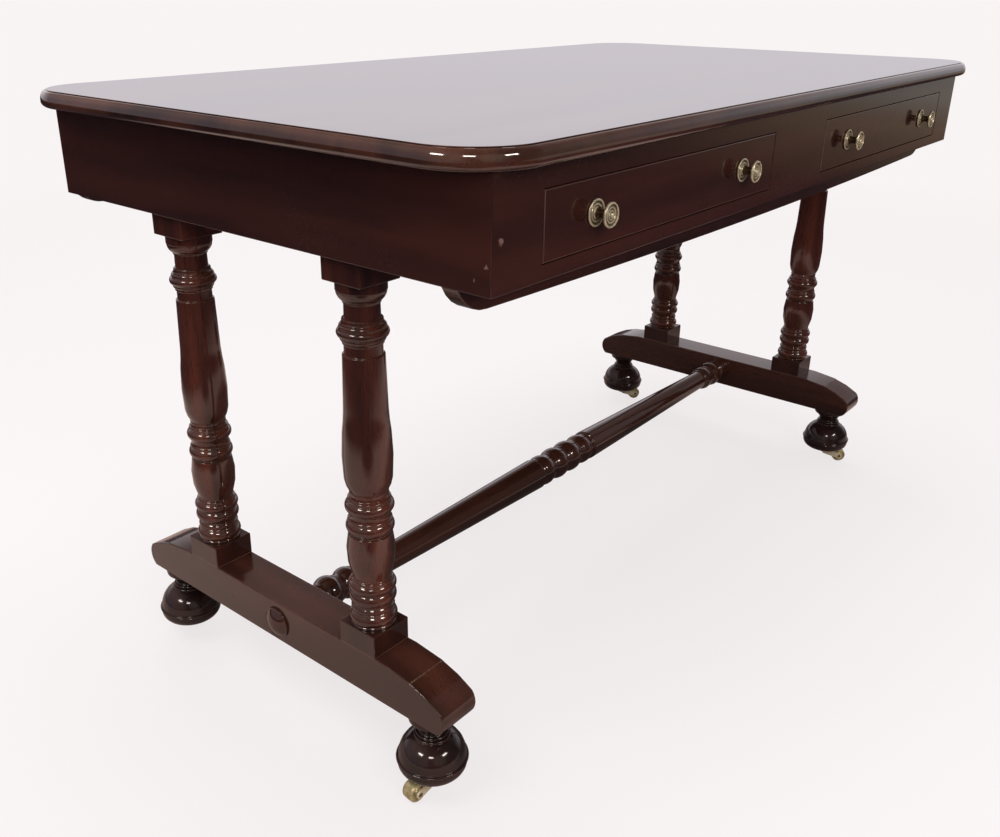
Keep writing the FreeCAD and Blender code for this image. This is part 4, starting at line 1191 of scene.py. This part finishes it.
def make_woods(finish, groups):
    """The finishes of the wooden pieces."""
    top = toned(finish.mahogany_dark, finish.mahogany_light, finish.mahogany_worn, finish.grime)
    sleds = toned(finish.mahogany_dark, finish.mahogany_light, finish.chipped, finish.grime)
    boards = toned(finish.board_dark, finish.board_light, finish.board_worn, finish.grime)
    uprights = toned(finish.mahogany_dark, finish.upright_light, finish.mahogany_worn, finish.grime)
    feet = toned(finish.feet_dark, finish.feet_light, finish.mahogany_worn, finish.grime)
    lining = toned(finish.lining_dark, finish.lining_light, finish.lining_light, finish.lining_dark)
    pine = toned(finish.pine_dark, finish.pine_light, finish.pine_light, finish.pine_dark)
    return {
        name: wood(label, groups, turn, tones, gloss, figure)
        for name, label, turn, tones, gloss, figure in (
            ("top", "Mahogany top", grain_along, top, top_polish, top_figure),
            ("along", "Mahogany along", grain_along, top, french_polish, board_figure),
            ("across", "Mahogany across", grain_across, sleds, sled_polish, board_figure),
            ("boards", "Mahogany boards", grain_along, boards, board_polish, board_figure),
            ("drawers", "Mahogany drawer fronts", grain_along, boards, drawer_polish_with_edge_highlight, board_figure),
            ("end_boards", "Mahogany end boards", grain_across, boards, board_polish, board_figure),
            ("upright", "Mahogany upright", grain_upright, uprights, column_polish, board_figure),
            ("turned", "Mahogany turned along", grain_along, top, turned_polish, board_figure),
            ("feet", "Mahogany feet", grain_upright, feet, foot_polish, board_figure),
            ("lining", "Drawer lining", grain_across, lining, bare_wood, lining_figure),
            ("pine", "Inner boards", grain_across, pine, bare_wood, pine_figure),
        )
    }


def make_metals(finish, groups):
    """The finishes of the brass and steel pieces."""
    brass = toned(finish.brass_dark, finish.brass_light, finish.brass_edge)
    horns = toned(finish.brass_dark, finish.brass_edge, finish.brass_edge)
    wheels = toned(finish.brass_groove, finish.brass_light, finish.brass_edge)
    knobs = toned(finish.brass_groove, finish.brass_dull, finish.brass_edge)
    steel = toned(finish.steel_dark, finish.steel_light, finish.steel_light)
    return {
        "brass": metal("Old brass", groups, brass, old_brass),
        "horn_brass": metal("Horn brass", groups, horns, horn_brass),
        "wheel_brass": metal("Wheel brass", groups, wheels, wheel_brass),
        "knob_brass": metal("Knob brass", groups, knobs, knob_brass),
        "steel": metal("Old steel", groups, steel, old_steel),
    }


def make_finishes(finish):
    """Every material of the table."""
    groups = {"grain": grain_group(), "wear": wear_group(), "grime": grime_and_shade_group(), "polish": polish_group()}
    return {**make_woods(finish, groups), **make_metals(finish, groups)}


looks = {}


def dress(node, material):
    """Gives a node of the frame a finish."""
    mesh = frame["nodes"][node].data
    mesh.materials.clear()
    mesh.materials.append(material)


def lamp(name, place, aim, width, height, power, tint, mirrored):
    """A soft lamp that is aimed at a place, and that the polish mirrors or not."""
    turn = (Vector(place) - Vector(aim)).to_track_quat("Z", "Y").to_euler()
    bpy.ops.object.light_add(type="AREA", location=place, rotation=turn)
    made = bpy.context.active_object
    made.name = name
    made.data.shape = "RECTANGLE"
    made.data.size = width
    made.data.size_y = height
    made.data.energy = power
    made.data.color = tint
    made.visible_glossy = mirrored
    made.visible_diffuse = not mirrored


# Lamps: place, aim, width, height, share of the lamp power, and whether the polish mirrors them
lamps = {
    "soft_front": ((-1.5, -2.3, 1.9), (-0.3, 0.0, 0.5), 1.6, 1.4, 2.0, False),
    "soft_left": ((-1.8, 0.3, 2.7), (0.0, 0.0, 0.4), 1.2, 1.2, 1.4, False),
    "soft_top": ((0.3, 0.2, 3.1), (0.0, 0.0, 0.4), 2.0, 1.6, 2.8, False),
    "soft_back": ((1.2, 2.8, 2.2), (0.0, 0.0, 0.4), 1.6, 1.4, 1.2, False),
    "glint_left": ((-3.2, 0.2, 2.5), (-0.6, -0.3, 0.6), 0.9, 0.36, 1.7, True),
    "glint_near": ((-2.8, -1.9, 2.5), (-0.6, -0.3, 0.6), 0.8, 0.3, 1.2, True),
    "glint_right": ((-0.3, -3.2, 2.5), (-0.6, -0.3, 0.6), 1.0, 0.36, 1.7, True),
}

# The floor by place, in metres: painted shadow below the table and near the camera, a painted pool of warm
# light beside it, and dark, tan and pale further off, all for the polish to mirror and for the bounced light
under_shape = (1.3, 1.0, 0.0)
under_rings = (0.6, 0.82)
shadow_under_table = (0.10, 0.085, 0.08, 1)
rings_centre = (-0.3, -0.1, 0.0)
floor_rings = (1.15, 1.5)
camera_shadow_place = (-1.35, -0.95, 0.0)
camera_shadow_rings = (0.6, 0.35)
lit_floor_beside = (0.47, 0.34, 0.29, 1)
far_floor = (0.045, 0.03, 0.036, 1)
tan_side = (3.2, 5.6)
tan_floor = (0.40, 0.28, 0.18, 1)
pale_side = (5.8, 7.4)
pale_floor = (0.58, 0.52, 0.44, 1)
seen_share = 0.8
fade_rings = (1.2, 3.6)

# The room that the polish mirrors: a pale wall beyond the table, and a dim room behind the camera
view_heading = (0.765, 0.644, 0.0)
window_heading = (-0.77, 0.64, 0.0)
window_colour = (0.30, 0.26, 0.29, 1)
pane_colour = (0.44, 0.34, 0.32, 1)
horizon_colour = (0.58, 0.55, 0.59, 1)
wall_colour = (0.84, 0.80, 0.85, 1)
ceiling_colour = (0.25, 0.178, 0.162, 1)
room_colour = (0.07, 0.058, 0.05, 1)
lamp_headings = ((-0.93, -0.1, 0.35), (-0.35, -0.85, 0.4))
lamp_colour = (0.30, 0.26, 0.22, 1)
daylight_colour = (0.92, 0.94, 1.0, 1)
wall_rise = (0.02, 0.2)
ceiling_rise = (0.2, 0.5)
pane_rise = (0.2, 0.6)
window_spread = (0.2, 0.7)
lamp_spread = (0.9, 0.985)
view_spread = (0.22, 0.72)


def by_ray(tree, ray, others, chosen):
    """One shader for a kind of ray, and another for the rest."""
    rays = put(tree, "ShaderNodeLightPath")
    return put(tree, "ShaderNodeMixShader", {},
               {0: rays.outputs[ray], 1: others.outputs[0], 2: chosen.outputs[0]})


def make_floor(studio):
    """A plain floor: pale to the camera; in what the polish reflects and in the bounced light it has painted
    shadow below the table and near the camera, a painted pool of light beside it, and darker colours away
    from the table.
    """
    deselect()
    bpy.ops.mesh.primitive_plane_add(size=studio.floor_size)
    floor = bpy.context.active_object
    floor.name = "studio_floor"
    material, tree, shader = new_material("Studio floor", {"Roughness": 1.0, "Specular IOR Level": 0.0})
    place = piece_place(tree)
    beside = measured(tree, "DISTANCE", place, rings_centre)
    # Painted shadow near the camera: there the floor takes the dark colour of the floor further off
    camera_shadow = measured(tree, "DISTANCE", place, camera_shadow_place)
    away = sum_of(tree, "MAXIMUM", ramped(tree, beside, *floor_rings), ramped(tree, camera_shadow, *camera_shadow_rings))
    sideways = part_of(tree, place, "X")
    far = mixed(tree, ramped(tree, sideways, *tan_side), far_floor, tan_floor)
    far = mixed(tree, ramped(tree, sideways, *pale_side), far, pale_floor)
    # Painted shadow under the table, and a painted pool of light beside it
    below = measured(tree, "LENGTH", stretched(tree, place, under_shape))
    near = mixed(tree, ramped(tree, below, *under_rings), shadow_under_table, lit_floor_beside)
    fill(tree, shader, {"Base Color": mixed(tree, away, near, far)})
    pale = (*studio.pale, 1)
    card = put(tree, "ShaderNodeBsdfDiffuse", {}, {"Color": pale})
    glow = put(tree, "ShaderNodeEmission", {}, {"Color": pale, "Strength": 1.0})
    share = ramped(tree, measured(tree, "LENGTH", place), *fade_rings, seen_share, 1.0)
    seen = put(tree, "ShaderNodeMixShader", {}, {0: share, 1: card.outputs[0], 2: glow.outputs[0]})
    whole = by_ray(tree, "Is Camera Ray", shader, seen)
    fill(tree, tree.nodes["Material Output"], {"Surface": whole.outputs[0]})
    floor.data.materials.append(material)


def make_room(studio):
    """The light all round, brighter above the horizon, and the pale backdrop that the camera sees."""
    world = bpy.data.worlds.new("Studio")
    bpy.context.scene.world = world
    world.use_nodes = True
    tree = world.node_tree
    tree.nodes.clear()
    direction = put(tree, "ShaderNodeTexCoord").outputs["Generated"]
    height = part_of(tree, direction, "Z")
    wall = mixed(tree, ramped(tree, height, *wall_rise), horizon_colour, wall_colour)
    wall = mixed(tree, ramped(tree, height, *ceiling_rise), wall, ceiling_colour)
    window = mixed(tree, ramped(tree, height, *pane_rise), window_colour, pane_colour)
    aside = measured(tree, "DOT_PRODUCT", direction, window_heading)
    room = mixed(tree, ramped(tree, aside, *window_spread), room_colour, window)
    for heading in lamp_headings:
        near = measured(tree, "DOT_PRODUCT", direction, heading)
        room = mixed(tree, ramped(tree, near, *lamp_spread), room, lamp_colour)
    beyond = measured(tree, "DOT_PRODUCT", direction, view_heading)
    mirrored = mixed(tree, ramped(tree, beyond, *view_spread), room, wall)
    shown = ((daylight_colour, studio.room_light), (mirrored, 1.0), ((*studio.pale, 1), 1.0))
    light, mirror, backdrop = (
        put(tree, "ShaderNodeBackground", {}, {"Color": tint, "Strength": strength})
        for tint, strength in shown)
    lit = by_ray(tree, "Is Glossy Ray", light, mirror)
    whole = by_ray(tree, "Is Camera Ray", lit, backdrop)
    put(tree, "ShaderNodeOutputWorld", {}, {"Surface": whole.outputs[0]})


def make_camera(studio):
    """The camera, where the photograph was taken from."""
    bpy.ops.object.camera_add(location=studio.camera_place, rotation=studio.camera_turn)
    camera = bpy.context.active_object
    camera.name = "studio_camera"
    camera.data.lens = studio.lens
    camera.data.shift_x = studio.shift_x
    camera.data.shift_y = studio.shift_y
    bpy.context.scene.camera = camera


class TABLE_OT_finishes(bpy.types.Operator):
    """Mixes the finishes: mahogany, linings, pine, brass and steel"""
    bl_idname = "table.finishes"
    bl_label = "Mix the finishes"

    def execute(self, context):
        looks.update(make_finishes(context.scene.table_finish))
        return {"FINISHED"}


class TABLE_OT_top(bpy.types.Operator):
    """Works the moulded top"""
    bl_idname = "table.top"
    bl_label = "Moulded top"

    def execute(self, context):
        make_top(context.scene.table_joinery, looks)
        return {"FINISHED"}


class TABLE_OT_frieze(bpy.types.Operator):
    """Planes the boards, rails and stiles of the frieze"""
    bl_idname = "table.frieze"
    bl_label = "Frieze"

    def execute(self, context):
        sizes = context.scene.table_joinery
        for side in ("left", "right"):
            make_end_board(side, sizes, looks)
            make_stile(side, sizes, looks)
        make_back_board(sizes, looks)
        make_stile("centre", sizes, looks)
        make_front_rail("front_top_rail", "top_rail", sizes, looks)
        make_front_rail("front_bottom_rail", "bottom_rail", sizes, looks)
        return {"FINISHED"}


class TABLE_OT_under_rails(bpy.types.Operator):
    """Saws the shaped rails under the frieze"""
    bl_idname = "table.under_rails"
    bl_label = "Rails under the frieze"

    def execute(self, context):
        sizes = context.scene.table_joinery
        make_under_rail("under_rail_front", "shaped_rail_front", sizes.front_rail_run, sizes.front_rail_lift,
                        sizes.front_rail_sag, sizes, looks)
        make_under_rail("under_rail_back", "shaped_rail_back", sizes.back_rail_run, 0, 0, sizes, looks)
        return {"FINISHED"}


class TABLE_OT_inside(bpy.types.Operator):
    """Finishes the boards, blocks, screws and bolts that are mostly out of sight"""
    bl_idname = "table.inside"
    bl_label = "Inner boards and fastenings"

    def execute(self, context):
        for node in pine_nodes:
            dress(node, looks["pine"])
        for node in steel_nodes:
            dress(node, looks["steel"])
        return {"FINISHED"}


class TABLE_OT_columns(bpy.types.Operator):
    """Turns the four columns"""
    bl_idname = "table.columns"
    bl_label = "Columns"

    def execute(self, context):
        make_columns(context.scene.table_joinery, context.scene.table_turnery, looks)
        return {"FINISHED"}


class TABLE_OT_sleds(bpy.types.Operator):
    """Saws the two sled feet"""
    bl_idname = "table.sleds"
    bl_label = "Sled feet"

    def execute(self, context):
        for side in ("left", "right"):
            make_sled(side, context.scene.table_joinery, looks)
        return {"FINISHED"}


class TABLE_OT_feet(bpy.types.Operator):
    """Turns the four bun feet"""
    bl_idname = "table.feet"
    bl_label = "Bun feet"

    def execute(self, context):
        make_feet(context.scene.table_turnery, looks)
        return {"FINISHED"}


class TABLE_OT_stretcher(bpy.types.Operator):
    """Turns the stretcher and the buttons over its bolts"""
    bl_idname = "table.stretcher"
    bl_label = "Stretcher"

    def execute(self, context):
        make_stretcher(context.scene.table_turnery, looks)
        make_covers(context.scene.table_turnery, context.scene.table_brass, looks)
        return {"FINISHED"}


class TABLE_OT_drawers(bpy.types.Operator):
    """Rounds the drawer fronts and finishes the linings"""
    bl_idname = "table.drawers"
    bl_label = "Drawers"

    def execute(self, context):
        for side in ("left", "right"):
            make_drawer_front(side, context.scene.table_joinery, looks)
            for part in lining_parts:
                dress("drawer_" + side + "_" + part, looks["lining"])
        return {"FINISHED"}


class TABLE_OT_knobs(bpy.types.Operator):
    """Turns the brass knobs and their backplates"""
    bl_idname = "table.knobs"
    bl_label = "Knobs"

    def execute(self, context):
        turnery, brass = context.scene.table_turnery, context.scene.table_brass
        for side in ("left", "right"):
            plates = [make_knob(side, place, turnery, brass, looks) for place in ("outer", "inner")]
            piece = joined("brass_backplates_" + side, plates)
            smooth(piece)
            fit(piece, "drawer_" + side, "brass", looks["knob_brass"], "backplates_" + side)
        return {"FINISHED"}


class TABLE_OT_casters(bpy.types.Operator):
    """Makes the brass casters"""
    bl_idname = "table.casters"
    bl_label = "Casters"

    def execute(self, context):
        make_casters(context.scene.table_turnery, context.scene.table_brass, looks)
        return {"FINISHED"}


class TABLE_OT_stage(bpy.types.Operator):
    """Sets up the floor, the room, the lamps and the camera"""
    bl_idname = "table.stage"
    bl_label = "Studio"

    def execute(self, context):
        studio = context.scene.table_studio
        context.scene.view_settings.view_transform = "Standard"
        make_floor(studio)
        make_room(studio)
        for name, (place, aim, width, height, share, mirrored) in lamps.items():
            tint = studio.glint_tint if mirrored else studio.lamp_tint
            lamp(name, place, aim, width, height, share * studio.lamp_power, tint, mirrored)
        make_camera(studio)
        return {"FINISHED"}


class TABLE_PT_sidebar(bpy.types.Panel):
    """Lists the steps and the sizes of the table"""
    bl_label = "Library table"
    bl_idname = "TABLE_PT_sidebar"
    bl_space_type = "VIEW_3D"
    bl_region_type = "UI"
    bl_category = "Table"

    def draw(self, context):
        for step in steps:
            self.layout.operator(step.bl_idname)
        for settings in property_groups:
            box = self.layout.box()
            group = getattr(context.scene, settings)
            for name in group.__annotations__:
                box.prop(group, name)


steps = (TABLE_OT_finishes, TABLE_OT_top, TABLE_OT_frieze, TABLE_OT_under_rails, TABLE_OT_inside,
         TABLE_OT_columns, TABLE_OT_sleds, TABLE_OT_feet, TABLE_OT_stretcher, TABLE_OT_drawers,
         TABLE_OT_knobs, TABLE_OT_casters, TABLE_OT_stage)
property_groups = {
    "table_joinery": TableJoinery, "table_turnery": TableTurnery, "table_brass": TableBrass,
    "table_finish": TableFinish, "table_studio": TableStudio,
}


def register():
    """Adds the settings, the steps and the panel to Blender."""
    for name, group in property_groups.items():
        bpy.utils.register_class(group)
        setattr(bpy.types.Scene, name, bpy.props.PointerProperty(type=group))
    for step in steps:
        bpy.utils.register_class(step)
    bpy.utils.register_class(TABLE_PT_sidebar)


def unregister():
    """Takes them away again."""
    bpy.utils.unregister_class(TABLE_PT_sidebar)
    for step in reversed(steps):
        bpy.utils.unregister_class(step)
    for name, group in property_groups.items():
        delattr(bpy.types.Scene, name)
        bpy.utils.unregister_class(group)


def main():
    """Builds the dressed table step by step."""
    register()
    for step in steps:
        group, action = step.bl_idname.split(".")
        getattr(getattr(bpy.ops, group), action)()
    deselect()


if __name__ == "__main__":
    main()
